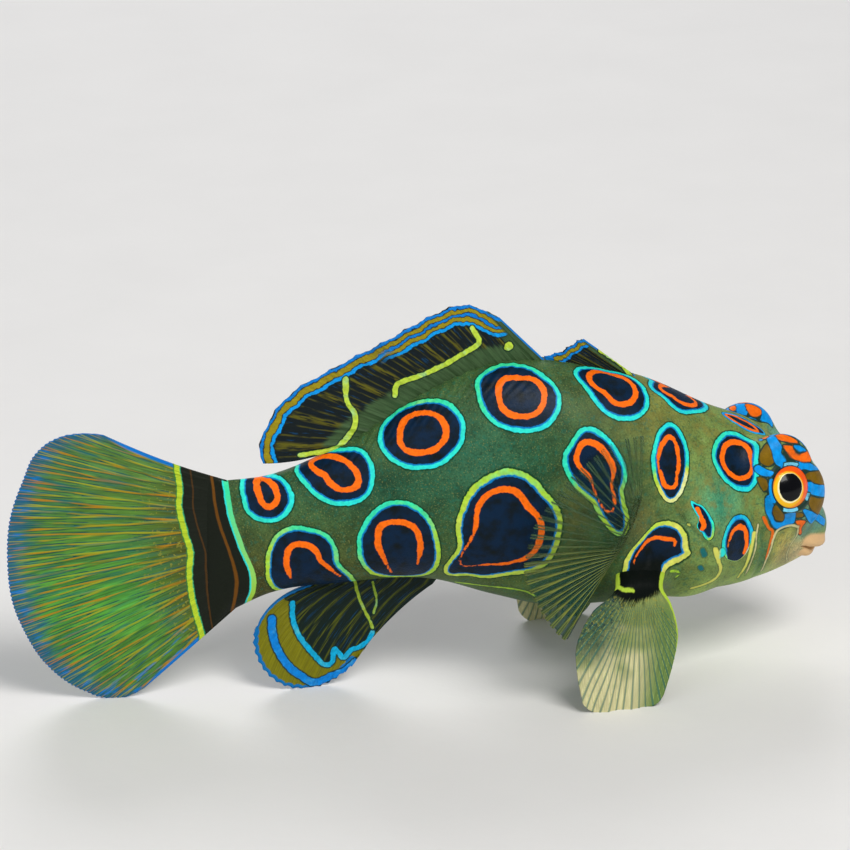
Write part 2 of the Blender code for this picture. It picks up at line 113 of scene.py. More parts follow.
# Eyes: the ball, the film of skin over it, the rim round its opening, the cone that keeps the flesh
# back from the gaze, and the socket's bowl, whose radius grows across the rim
EYE_CENTRE = np.array([6.70, 3.60, 14.74])
EYE_RADIUS = 2.4
EYE_GAZE = np.array([-0.24, 0.92, 0.30])
FILM_THICK = 0.12
RIM_RADIUS = 1.88
RIM_THICK = 0.18
CONE_RISE = 0.70
EYE_FILLETS = {"cone": 0.5, "film": 0.5, "rim": 0.35}
BOWL_RADIUS = 2.2
BOWL_GROWTH = 1.2
BOWL_ACROSS = (1.50, 2.20)

# Small openings: s and z on the flank
NOSTRIL = (3.9, 11.85)
NOSTRIL_RADIUS = 0.20
GILL_PORE = (13.3, 19.7)
GILL_RADIUS = 0.27

# Rays from inside the fish that find its skin: their length, coarse steps and halvings after them
RAY_REACH = 20.0
RAY_STEPS = 80
RAY_HALVINGS = 16
FAR_OFF = 50.0

# How finely the skin is made: rings round the head, rings along the body, places round each, and the
# rings that thin out over the tail fin's foot by a share and a power
HEAD_RINGS = 112
BODY_RINGS = 198
SKIN_COLUMNS = 308
SKIN_END = 51.2
SKIN_END_SAG = 0.18
TAPER_RINGS = 12
TAPER = (0.90, 1.25)

# Colours as linear red, green, blue
CYAN = (0.02, 0.72, 0.66)
AQUA = (0.04, 0.72, 0.34)
LIME = (0.40, 0.66, 0.04)
YELLOW = (0.66, 0.66, 0.12)
PALE = (0.70, 0.82, 0.55)
BLUE = (0.0, 0.30, 0.78)
ORANGE = (1.0, 0.165, 0.003)
NAVY = (0.0005, 0.015, 0.045)
BLACK = (0.002, 0.006, 0.007)
OLIVE_PATCH = (0.19, 0.105, 0.002)
CREAM = (0.60, 0.56, 0.28)
HUES = ((0.0, BLUE), (0.2, CYAN), (0.4, AQUA), (0.6, LIME), (0.8, YELLOW), (1.0, PALE))


def smooth_curve(x, places, values):
    """A smooth curve through the values at the places: cubics whose slopes are central differences."""
    places = np.asarray(places, float)
    values = np.asarray(values, float)
    slopes = np.gradient(values, places)
    i = np.clip(np.searchsorted(places, x) - 1, 0, len(places) - 2)
    step = places[i + 1] - places[i]
    t = np.clip((x - places[i]) / step, 0.0, 1.0)
    rise = values[i] * (2 * t**3 - 3 * t**2 + 1) + values[i + 1] * (3 * t**2 - 2 * t**3)
    return rise + step * (slopes[i] * (t**3 - 2 * t**2 + t) + slopes[i + 1] * (t**3 - t**2))


def even_curve(x, values):
    """The smooth curve through values that stand at even steps from 0 to 1."""
    return smooth_curve(x, np.linspace(0.0, 1.0, len(values)), values)


def share(value, low, high):
    """0 at low and 1 at high, straight between and held beyond."""
    return np.clip((value - low) / (high - low), 0.0, 1.0)


def unit(v):
    """Vectors shortened to length one."""
    return v / np.linalg.norm(v, axis=-1, keepdims=True)


def on_left(p):
    """The same places on the left flank: both flanks are alike."""
    return np.stack([p[..., 0], np.abs(p[..., 1]), p[..., 2]], -1)


def body_sizes(s):
    """Top, bottom and half width at s; the root of the distance from the snout rounds the front."""
    root = np.sqrt(np.maximum(s - BODY[0, 0], 0.0))
    places = np.sqrt(BODY[:, 0] - BODY[0, 0])
    return [smooth_curve(root, places, BODY[:, column]) for column in (1, 2, 3)]


def body_distance(s, y, z):
    """How far a place lies outside the plain body, along the line from its section's middle."""
    top, bottom, half = body_sizes(s)
    level = bottom + WIDEST * (top - bottom)
    upper = z >= level
    tall = np.maximum(np.where(upper, top - level, level - bottom), 1e-3)
    power = np.where(upper, ROUND_TOP, ROUND_BELLY)
    part = (np.abs(y) / np.maximum(half, 1e-3)) ** power + (np.abs(z - level) / tall) ** power
    part = np.maximum(part, 1e-6) ** (1.0 / power)
    return np.maximum(np.hypot(y, z - level) * (1.0 - 1.0 / part), BODY[0, 0] - s)


def lump_distance(s, y, z, centre, sizes):
    """How far a place lies outside an ellipsoid that stands on both sides of the body."""
    d = [s - centre[0], np.abs(y) - centre[1], z - centre[2]]
    part = np.sqrt(sum((d[i] / sizes[i]) ** 2 for i in range(3)))
    part = np.maximum(part, 1e-6)
    return np.sqrt(sum(d[i] ** 2 for i in range(3))) * (1.0 - 1.0 / part)


def lip_ring(s, y, lip):
    """Share of the lip's half ellipse that a place lies out at."""
    return np.hypot((s - LIP_CENTRE) / lip["reach"], y / lip["half"])


def lip_distance(s, y, z, lip):
    """How far a place lies outside a lip: a tube along half an ellipse that rises to its corners."""
    ring = lip_ring(s, y, lip)
    off_ring = (ring - 1.0) * np.hypot(s - LIP_CENTRE, y) / np.maximum(ring, 1e-6)
    off_level = z - lip["middle"] - LIP_RISE * (s - LIP_START)
    return np.hypot(off_ring, off_level) - lip["thick"] * (1.0 - share(s, *LIP_FADE))


def blend(a, b, width):
    """The union of two distances, filleted over the width."""
    h = np.maximum(width - np.abs(a - b), 0.0) / width
    return np.minimum(a, b) - h * h * width / 4.0


def shape_eye(away, p):
    """The skin's distance with the eye's surroundings worked into it.

    A wide cone round the gaze trims the flesh in front of the eye. The film over the eyeball and a low
    rim round its opening are added. The opening is a bowl that meets the eyeball where the rim ends.
    """
    q = on_left(p) - EYE_CENTRE
    reach = np.linalg.norm(q, axis=-1)
    ahead = q @ unit(EYE_GAZE)
    aside = np.sqrt(np.maximum(reach**2 - ahead**2, 0.0))
    level = math.sqrt(EYE_RADIUS**2 - RIM_RADIUS**2)
    cone = (ahead - level - CONE_RISE * (aside - RIM_RADIUS)) / math.hypot(1.0, CONE_RISE)
    away = -blend(-away, -np.where(ahead > 0.0, cone, -FAR_OFF), EYE_FILLETS["cone"])
    away = blend(away, reach - EYE_RADIUS - FILM_THICK, EYE_FILLETS["film"])
    away = blend(away, np.hypot(aside - RIM_RADIUS, ahead - level) - RIM_THICK, EYE_FILLETS["rim"])
    bowl = BOWL_RADIUS + BOWL_GROWTH * share(aside, *BOWL_ACROSS) ** 1.5
    return np.maximum(away, np.where((ahead > 0.0) & (aside < BOWL_ACROSS[1]), reach - bowl, -1.0))


def cut_mouth(away, s, y, z):
    """The skin's distance with the thin level cleft between the lips taken out of it."""
    level = (UPPER_LIP["middle"] + LOWER_LIP["middle"]) / 2.0 + LIP_RISE * (s - LIP_START)
    inside = (lip_ring(s, y, LOWER_LIP) - CLEFT_DEPTH) * LOWER_LIP["reach"]
    cleft = np.minimum(inside, 2.4 * (CLEFT_END - s))
    return np.maximum(away, np.minimum(CLEFT_HALF - np.abs(z - level), cleft))


def skin_distance(p):
    """How far places lie outside the skin.

    The plain body is blended with the forms of the head and the swellings that the paired fins stand
    on, and with the lips. The eye's surroundings are shaped, and the cleft of the mouth and the small
    openings are then taken out.
    """
    s, y, z = p[..., 0], p[..., 1], p[..., 2]
    away = body_distance(s, y, z)
    for centre, sizes, width in (BROW, ORBIT, SNOUT, CHEEK, OPERCLE, PECTORAL_BASE, PELVIC_BASE):
        away = blend(away, lump_distance(s, y, z, centre, sizes), width)
    lips = blend(lip_distance(s, y, z, UPPER_LIP), lip_distance(s, y, z, LOWER_LIP), LIP_FILLETS[0])
    away = shape_eye(blend(away, lips, LIP_FILLETS[1]), p)
    away = cut_mouth(away, s, y, z)
    for (ps, py, pz), radius in PORES:
        away = np.maximum(away, radius - np.sqrt((s - ps) ** 2 + (np.abs(y) - py) ** 2 + (z - pz) ** 2))
    return away


def to_skin(start, way, reach=RAY_REACH, steps=RAY_STEPS):
    """Carry each ray from its start out to the skin: coarse steps, then halving."""
    way = unit(way)
    near = np.zeros(way.shape[:-1])
    far = np.full(way.shape[:-1], reach)
    found = np.zeros(way.shape[:-1], bool)
    for place in np.linspace(0.0, reach, steps + 1)[1:]:
        outside = skin_distance(start + way * place) > 0.0
        near = np.where(found | outside, near, place)
        far = np.where(outside & ~found, place, far)
        found |= outside
    for _ in range(RAY_HALVINGS):
        middle = (near + far) / 2.0
        outside = skin_distance(start + way * middle[..., None]) > 0.0
        near = np.where(outside, near, middle)
        far = np.where(outside, middle, far)
    return start + way * near[..., None]


def flank_place(s, z):
    """The skin's place straight out to the left from the middle plane at s and z."""
    start = np.stack(np.broadcast_arrays(s, 0.0 * np.asarray(s), z), -1).astype(float)
    return to_skin(start, np.broadcast_to(np.array([0.0, 1.0, 0.0]), start.shape))


# The small openings are set on the skin as it is without them, so there are none while they are placed
PORES = ()
PORES = ((flank_place(*NOSTRIL), NOSTRIL_RADIUS), (flank_place(*GILL_PORE), GILL_RADIUS))


def skin_normal(p, step=0.02):
    """The skin's outward direction: the slope of its distance by central differences."""
    slope = []
    for axis in range(3):
        move = np.zeros(3)
        move[axis] = step
        slope.append(skin_distance(p + move) - skin_distance(p - move))
    return unit(np.stack(slope, -1) + 1e-12)


def around(s, turn):
    """The direction at an angle round the body, spread evenly over the section at s."""
    top, bottom, half = body_sizes(s)
    tall = (top - bottom) / 2.0
    return np.stack(np.broadcast_arrays(0.0 * turn, half * np.cos(turn), tall * np.sin(turn)), -1)


def middle_height(s):
    """The height that the rays start from at s: the head's own centre, then the section's middle."""
    top, bottom, _ = body_sizes(s)
    back = share(s, HEAD_CENTRE[0], HEAD_CENTRE[0] + 6.0)
    return HEAD_CENTRE[2] * (1.0 - back) + (top + bottom) / 2.0 * back


def skin_rings():
    """The skin as rings of places, from the mouth to the tail fin.

    The first rings lie round the axis from the head's centre to the mouth, at growing tilts from it,
    and the others stand across the body at growing s. Every place is where a ray meets the skin.
    """
    turn = np.arange(SKIN_COLUMNS) * 2.0 * math.pi / SKIN_COLUMNS
    axis = unit(MOUTH_FRONT - HEAD_CENTRE)
    side = unit(around(np.float64(HEAD_CENTRE[0]), turn))
    tilt = (np.arange(HEAD_RINGS) + 0.5)[:, None, None] / HEAD_RINGS * math.pi / 2.0
    way = np.cos(tilt) * axis + np.sin(tilt) * side[None]
    head = to_skin(np.broadcast_to(HEAD_CENTRE, way.shape), way)
    s = np.linspace(HEAD_CENTRE[0] + 0.05, TAIL_END, BODY_RINGS)[:, None]
    way = around(s, turn[None, :])
    start = np.stack(np.broadcast_arrays(s, 0.0 * s, middle_height(s)), -1)
    body = to_skin(np.broadcast_to(start, way.shape), way)
    return np.concatenate([head, body])


def world(p):
    """Bend the straight fish: a place at s is set off from the back line along its left normal."""
    s = np.clip(p[..., 0], 0.0, BOW_LENGTH)
    rate = (TAIL_YAW - HEAD_YAW) / BOW_LENGTH
    yaw = HEAD_YAW + rate * s
    beyond = p[..., 0] - s
    x = SNOUT_X - (np.sin(yaw) - math.sin(HEAD_YAW)) / rate - beyond * np.cos(yaw)
    y = SNOUT_Y + (np.cos(yaw) - math.cos(HEAD_YAW)) / rate - beyond * np.sin(yaw)
    return np.stack([x - np.sin(yaw) * p[..., 1], y + np.cos(yaw) * p[..., 1], p[..., 2]], -1)


# Curves on the skin and how far places lie from them

def smooth_line(points, closed=False, steps=8):
    """A smooth line through points: between two of them a cubic whose slopes join their neighbours."""
    points = np.asarray(points, float)
    if closed:
        before, start, end, after = [np.roll(points, k, axis=0) for k in (1, 0, -1, -2)]
    else:
        padded = np.concatenate([2 * points[:1] - points[1:2], points, 2 * points[-1:] - points[-2:-1]])
        before, start, end, after = padded[:-3], padded[1:-2], padded[2:-1], padded[3:]
    t = (np.arange(steps) / steps)[None, :, None]
    before, start, end, after = [v[:, None, :] for v in (before, start, end, after)]
    line = 0.5 * (2 * start + (end - before) * t + (2 * before - 5 * start + 4 * end - after) * t**2
                  + (3 * start - before - 3 * end + after) * t**3)
    line = line.reshape(-1, 2)
    return line if closed else np.concatenate([line, points[-1:]])


def round_line(points, steps=80):
    """A smooth closed line through points round their middle.

    The points are squeezed until they spread alike every way. There the radius over the angle is a
    closed cubic through theirs, and the line is then stretched back.
    """
    middle = points.mean(axis=0)
    spread, axes = np.linalg.eigh(np.cov((points - middle).T))
    squeeze = axes / np.sqrt(spread)
    flat = (points - middle) @ squeeze
    turn = np.arctan2(flat[:, 1], flat[:, 0])
    order = np.argsort(turn)
    whole = 2.0 * math.pi
    places = np.concatenate([turn[order] + lap * whole for lap in (-1, 0, 1)])
    angle = np.arange(steps) * whole / steps - math.pi
    reach = smooth_curve(angle, places, np.tile(np.hypot(*flat.T)[order], 3))
    ring = np.stack([np.cos(angle), np.sin(angle)], -1) * reach[:, None]
    return ring @ np.linalg.inv(squeeze) + middle


def by_angle(angle, pairs):
    """A value in straight steps round the circle through angle and value pairs in degrees."""
    pairs = np.reshape(pairs, (-1, 2))
    pairs = pairs[np.argsort(pairs[:, 0])]
    places = np.concatenate([pairs[:, 0] + lap * 360.0 for lap in (-1, 0, 1)])
    return np.interp(angle, places, np.tile(pairs[:, 1], 3))


def line_distance(q, line, closed=False):
    """How far places lie from a line, by the nearest place on each of its short straights."""
    start = line if closed else line[:-1]
    end = np.roll(line, -1, axis=0) if closed else line[1:]
    along = end - start
    d = q[:, None, :] - start[None]
    t = np.clip((d * along).sum(-1) / np.maximum((along**2).sum(-1), 1e-12), 0.0, 1.0)
    return np.linalg.norm(d - t[..., None] * along[None], axis=-1).min(axis=1)


def flat_distance(s, z, line):
    """How far places in s and z lie from a line, in the shape that they come in."""
    return line_distance(np.stack([s, z], -1).reshape(-1, 2), line).reshape(np.shape(s))


def inside_outline(q, line):
    """True inside a closed line: a level ray from the place crosses the line an odd number of times."""
    start, end = line, np.roll(line, -1, axis=0)
    above = start[None, :, 1] > q[:, None, 1]
    crosses = above != (end[None, :, 1] > q[:, None, 1])
    rise = np.where(np.abs(end[:, 1] - start[:, 1]) < 1e-9, 1e-9, end[:, 1] - start[:, 1])
    x = start[:, 0] + (q[:, None, 1] - start[:, 1]) * (end[:, 0] - start[:, 0]) / rise
    return (crosses & (q[:, None, 0] < x)).sum(axis=1) % 2 == 1


def outline_distance(q, line):
    """The distance from a closed line, less than zero inside it."""
    away = line_distance(q, line, closed=True)
    return np.where(inside_outline(q, line), -away, away)


def polar(pairs):
    """Places from angle and radius pairs: 0 degrees points at the head and 90 up."""
    pairs = np.asarray(pairs, float).reshape(-1, 2)
    turn = np.radians(pairs[:, 0])
    return np.stack([np.cos(turn), np.sin(turn)], -1) * pairs[:, 1:]


# The spots: s and z of the centre on the flank, then the outline and the orange loop as angle and
# radius pairs, then the ring's hue as angle and place in the row of hues, 0 blue to 5 pale
SPOTS = {
    "tail_top": (46.6, 16.7,
                 (356, 2.05, 42, 1.95, 87, 2.05, 132, 2.6, 154, 2.3, 176, 2.0, 221, 2.0, 265, 1.95,
                  311, 2.0),
                 (356, 0.8, 41, 0.9, 87, 1.4, 110, 1.8, 131, 1.15, 176, 0.55, 221, 0.55, 266, 0.7,
                  311, 0.75),
                 (90, 1.0, 200, 1.5, 300, 1.2)),
    "back_rear": (41.3, 18.4,
                  (354, 2.9, 40, 2.8, 87, 2.3, 130, 3.25, 164, 3.45, 190, 2.6, 219, 2.3, 264, 2.3,
                   309, 2.75),
                  (354, 1.6, 40, 1.3, 87, 1.45, 130, 2.2, 151, 2.3, 173, 0.95, 219, 0.75, 264, 0.95,
                   309, 1.45),
                  (90, 1.6, 200, 1.5, 300, 1.0)),
    "back_third": (34.9, 21.7,
                   (353, 3.3, 39, 3.2, 86, 2.8, 129, 3.0, 172, 3.45, 218, 3.1, 263, 2.8, 308, 2.9),
                   (353, 1.85, 39, 1.8, 85, 1.65, 129, 1.75, 172, 1.7, 215, 1.75, 263, 1.45, 308, 1.55),
                   (90, 2.3, 180, 1.3, 270, 1.1, 0, 1.2)),
    "back_second": (27.4, 24.25,
                    (354, 3.15, 40, 2.8, 85, 3.1, 115, 3.4, 150, 3.6, 172, 3.3, 218, 2.9, 262, 2.75,
                     307, 3.1),
                    (354, 1.85, 39, 1.9, 80, 1.6, 124, 1.9, 172, 1.6, 218, 1.6, 262, 1.5, 307, 1.75),
                    (90, 1.9, 180, 1.9, 270, 1.0, 0, 1.3)),
    "back_first": (20.0, 23.8,
                   (4, 3.1, 42, 3.2, 77, 2.7, 111, 3.1, 142, 3.4, 180, 2.1, 220, 1.95, 259, 2.15, 309, 2.8),
                   (3, 2.0, 42, 2.3, 70, 2.1, 95, 2.3, 141, 2.1, 180, 0.75, 220, 0.6, 258, 0.8, 307, 1.3),
                   (90, 1.2, 270, 1.0)),
    "nape": (14.0, 22.2,
             (358, 2.8, 24, 3.2, 90, 2.6, 150, 2.7, 183, 2.8, 205, 2.1, 230, 2.0, 254, 2.0, 311, 1.8),
             (4, 1.65, 60, 1.6, 120, 1.5, 175, 1.75, 199, 0.9, 225, 0.85, 248, 0.75, 308, 0.9),
             (90, 0.7, 270, 0.9)),
    "head_top": (8.78, 19.52,
                 (0, 2.05, 17, 1.25, 75, 0.93, 121, 1.25, 150, 1.85, 176, 1.43, 211, 0.80, 290, 0.92,
                  331, 1.66),
                 (13, 0.72, 87, 0.48, 126, 1.0, 154, 1.5, 173, 0.95, 224, 0.43, 306, 0.69, 345, 1.36),
                 (90, 0.0, 270, 0.2)),
    "tail_foot": (43.7, 11.6,
                  (359, 2.4, 49, 2.75, 90, 2.95, 134, 3.3, 182, 3.2, 231, 3.9, 271, 4.3, 309, 6.2,
                   330, 4.4),
                  (329, 2.95, 359, 1.1, 50, 1.1, 90, 1.45, 132, 1.85, 180, 1.6, 232, 2.0),
                  (0, 2.2, 90, 2.0, 180, 3.0, 270, 3.2)),
    "flank_rear": (36.9, 13.2,
                   (0, 3.1, 49, 3.25, 91, 3.55, 134, 3.2, 181, 3.15, 234, 3.7, 271, 4.25, 306, 4.35),
                   (306, 2.6, 0, 1.65, 50, 1.8, 91, 1.8, 133, 1.95, 181, 1.55, 232, 1.75, 262, 3.2),
                   (0, 3.1, 60, 2.0, 120, 1.6, 180, 1.8, 240, 3.0)),
    "flank_large": (28.8, 14.7,
                    (359, 4.05, 47, 3.9, 90, 4.5, 133, 4.15, 180, 3.95, 207, 4.3, 226, 6.9, 236, 6.0,
                     252, 5.4, 270, 4.7, 310, 4.5),
                    (359, 2.45, 47, 2.1, 90, 2.9, 132, 2.9, 180, 2.45, 207, 3.3, 225, 5.1, 240, 4.2,
                     270, 3.4, 311, 3.0),
                    (0, 3.2, 90, 2.7, 180, 3.3, 270, 3.4)),
    "shoulder": (22.4, 19.2,
                 (354, 2.55, 39, 2.3, 84, 2.9, 130, 2.5, 174, 2.3, 221, 2.15, 267, 3.1, 289, 6.0,
                  310, 3.45),
                 (354, 1.5, 39, 1.3, 85, 1.7, 130, 1.6, 174, 1.15, 220, 0.8, 266, 1.55, 285, 3.9,
                  310, 2.05),
                 (0, 1.0, 60, 1.1, 130, 1.7, 190, 1.6, 240, 2.8, 310, 3.0)),
    "gill_cover": (16.4, 18.7,
                   (6, 1.80, 31, 2.13, 51, 2.63, 66, 3.08, 78, 3.24, 90, 2.91, 104, 2.43, 129, 1.77,
                    175, 1.45, 222, 1.76, 239, 2.08, 252, 2.55, 263, 3.0, 273, 3.10, 288, 2.67, 309, 2.09,
                    337, 1.79),
                   (31, 1.03, 62, 1.75, 76, 2.04, 95, 1.66, 131, 1.09, 176, 0.88, 233, 1.12, 252, 1.66,
                    270, 1.93, 282, 1.86, 301, 1.20, 344, 0.88),
                   (0, 1.2, 90, 1.0, 180, 1.3, 215, 2.6, 265, 4.4, 320, 4.5)),
    "temple": (10.4, 17.6,
               (354, 1.68, 16, 1.92, 35, 2.27, 60, 2.46, 90, 2.50, 115, 2.38, 146, 2.34, 177, 2.30,
                206, 2.10, 241, 2.13, 274, 2.38, 297, 2.50, 312, 2.30, 334, 1.82),
               (351, 1.20, 25, 1.27, 53, 1.60, 90, 1.56, 134, 1.44, 181, 1.35, 236, 1.24, 285, 1.42,
                315, 1.45),
               (0, 1.0, 90, 1.3, 135, 1.8, 180, 1.4, 270, 1.0)),
    "cheek": (10.9, 11.6,
              (357, 1.52, 34, 1.77, 61, 2.11, 81, 2.19, 105, 2.15, 130, 1.92, 155, 1.76, 178, 1.64,
               211, 1.51, 252, 1.55, 280, 1.68, 300, 1.55, 323, 1.40),
              (307, 1.25, 335, 1.0, 4, 0.89, 49, 1.15, 81, 1.28, 114, 1.22, 149, 1.04, 186, 1.02),
              (0, 0.5, 90, 0.3, 160, 1.0, 320, 4.6)),
    "breast": (18.0, 11.1,
               (6, 2.87, 21, 3.0, 40, 3.4, 55, 3.56, 74, 3.45, 85, 3.19, 98, 2.77, 117, 2.39, 139, 2.27,
                162, 2.22, 189, 2.42, 206, 2.78, 250, 3.0, 288, 2.5, 303, 1.6, 322, 1.25, 342, 1.42,
                354, 1.9, 0, 2.45),
               (36, 2.12, 44, 2.41, 62, 2.13, 81, 2.05, 99, 1.89, 122, 1.66, 155, 1.53, 184, 1.6),
               (0, 3.9, 60, 3.8, 90, 3.2, 130, 3.5, 180, 3.8)),
    "hook": (14.0, 14.1,
             (123, 1.68, 107, 1.5, 86, 1.11, 39, 0.68, 338, 0.9, 313, 1.29, 293, 1.68, 277, 1.49,
              260, 0.94, 220, 0.66, 175, 0.42, 129, 1.05),
             (116, 1.13, 122, 0.48, 267, 0.28, 258, 0.66),
             (0, 0.9, 90, 1.1, 270, 0.7, 288, 3.2)),
}
OPEN_LOOPS = ("tail_foot", "flank_rear", "cheek", "breast", "hook")
RING_WIDTH = 0.42
RING_WIDTHS = {
    "head_top": (0, 0.19),
    "gill_cover": (0, 0.36, 90, 0.42, 180, 0.42, 270, 0.34),
    "cheek": (200, 0.36, 235, 0.04, 285, 0.04, 330, 0.16, 10, 0.36),
    "flank_large": (0, 0.50, 90, 0.62, 180, 0.50, 226, 0.36, 270, 0.45),
    "breast": (0, 0.62, 40, 0.55, 90, 0.36, 180, 0.42, 300, 0.30),
    "hook": (125, 0.12, 60, 0.16, 0, 0.24, 300, 0.28, 270, 0.18, 245, 0.03, 180, 0.03, 145, 0.03),
}
LOOP_HALF = 0.235
LOOP_HALVES = {
    "tail_foot": (329, 0.10, 345, 0.19, 0, 0.235, 180, 0.235, 215, 0.20, 232, 0.08),
    "flank_rear": (306, 0.08, 330, 0.19, 0, 0.235, 215, 0.235, 240, 0.17, 262, 0.07),
    "flank_large": (0, 0.24, 120, 0.24, 180, 0.18, 225, 0.07, 255, 0.11, 290, 0.19),
    "gill_cover": (0, 0.15, 80, 0.19, 180, 0.13, 270, 0.18),
    "temple": (0, 0.20),
    "hook": (0, 0.19),
    "shoulder": (0, 0.22, 90, 0.26, 180, 0.17, 250, 0.13, 285, 0.07, 320, 0.15),
    "head_top": (0, 0.13),
    "cheek": (0, 0.22, 90, 0.22, 200, 0.10),
    "breast": (36, 0.10, 50, 0.15, 80, 0.17, 120, 0.13, 155, 0.06, 184, 0.02),
    "nape": (0, 0.20),
}
NIGHT_PATCH = ((18.4, 10.0), (2.8, 1.9))
SPOT_REACH = 8.5
FAR = 9.0
AHEAD = np.array([-1.0, 0.0, 0.0])


def spot_frame(s, z):
    """A spot's centre on the skin and the directions there towards the head and up along the skin."""
    centre = flank_place(s, z)
    return (centre, *tangents(skin_normal(centre)))


def spot_fields(p):
    """Distances from the spots' outlines and loops, and the rings' hue.

    Each place is turned into a direction and a length from the spot's centre: the direction is that
    of its shadow on the tangent plane, the length is the straight distance. The distance from the
    outline is stretched so that every ring seems as wide as the plain one. Both flanks alike.
    """
    q = on_left(p).reshape(-1, 3)
    ring = np.full(len(q), FAR)
    loop = np.full(len(q), FAR)
    hue = np.ones(len(q))
    for name, (s, z, outline, inner, hues) in SPOTS.items():
        centre, ahead, up = spot_frame(s, z)
        d = q - centre
        away = np.linalg.norm(d, axis=-1)
        near = np.flatnonzero(away < SPOT_REACH)
        d, away = d[near], away[near]
        flat = np.stack([d @ ahead, d @ up], -1)
        flat = flat * (away / np.maximum(np.linalg.norm(flat, axis=-1), 1e-6))[:, None]
        turn = np.degrees(np.arctan2(flat[:, 1], flat[:, 0]))
        edge = outline_distance(flat, round_line(polar(outline)))
        closed = name not in OPEN_LOOPS
        line = round_line(polar(inner)) if closed else smooth_line(polar(inner))
        stroke = line_distance(flat, line, closed=closed)
        edge = edge * RING_WIDTH / by_angle(turn, RING_WIDTHS.get(name, (0, RING_WIDTH)))
        nearer = edge < ring[near]
        hue[near] = np.where(nearer, by_angle(turn, hues), hue[near])
        ring[near] = np.where(nearer, edge, ring[near])
        half = by_angle(turn, LOOP_HALVES.get(name, (0, LOOP_HALF)))
        loop[near] = np.minimum(loop[near], stroke - half)
    shape = p.shape[:-1]
    return ring.reshape(shape), loop.reshape(shape), hue.reshape(shape)


# The patches round the eye, in the eye's chart: millimetres round the eyeball ahead and up from
# the middle of its gaze. Each is painted over those before it, with a dark line round it
def arc(first, last, near, far):
    """A curved strip round the gaze from one angle to another and from one radius to another."""
    turn = np.radians(np.linspace(first, last, 7))
    ring = np.stack([np.cos(turn), np.sin(turn)], -1)
    return np.concatenate([ring * near, ring[::-1] * far]).ravel()


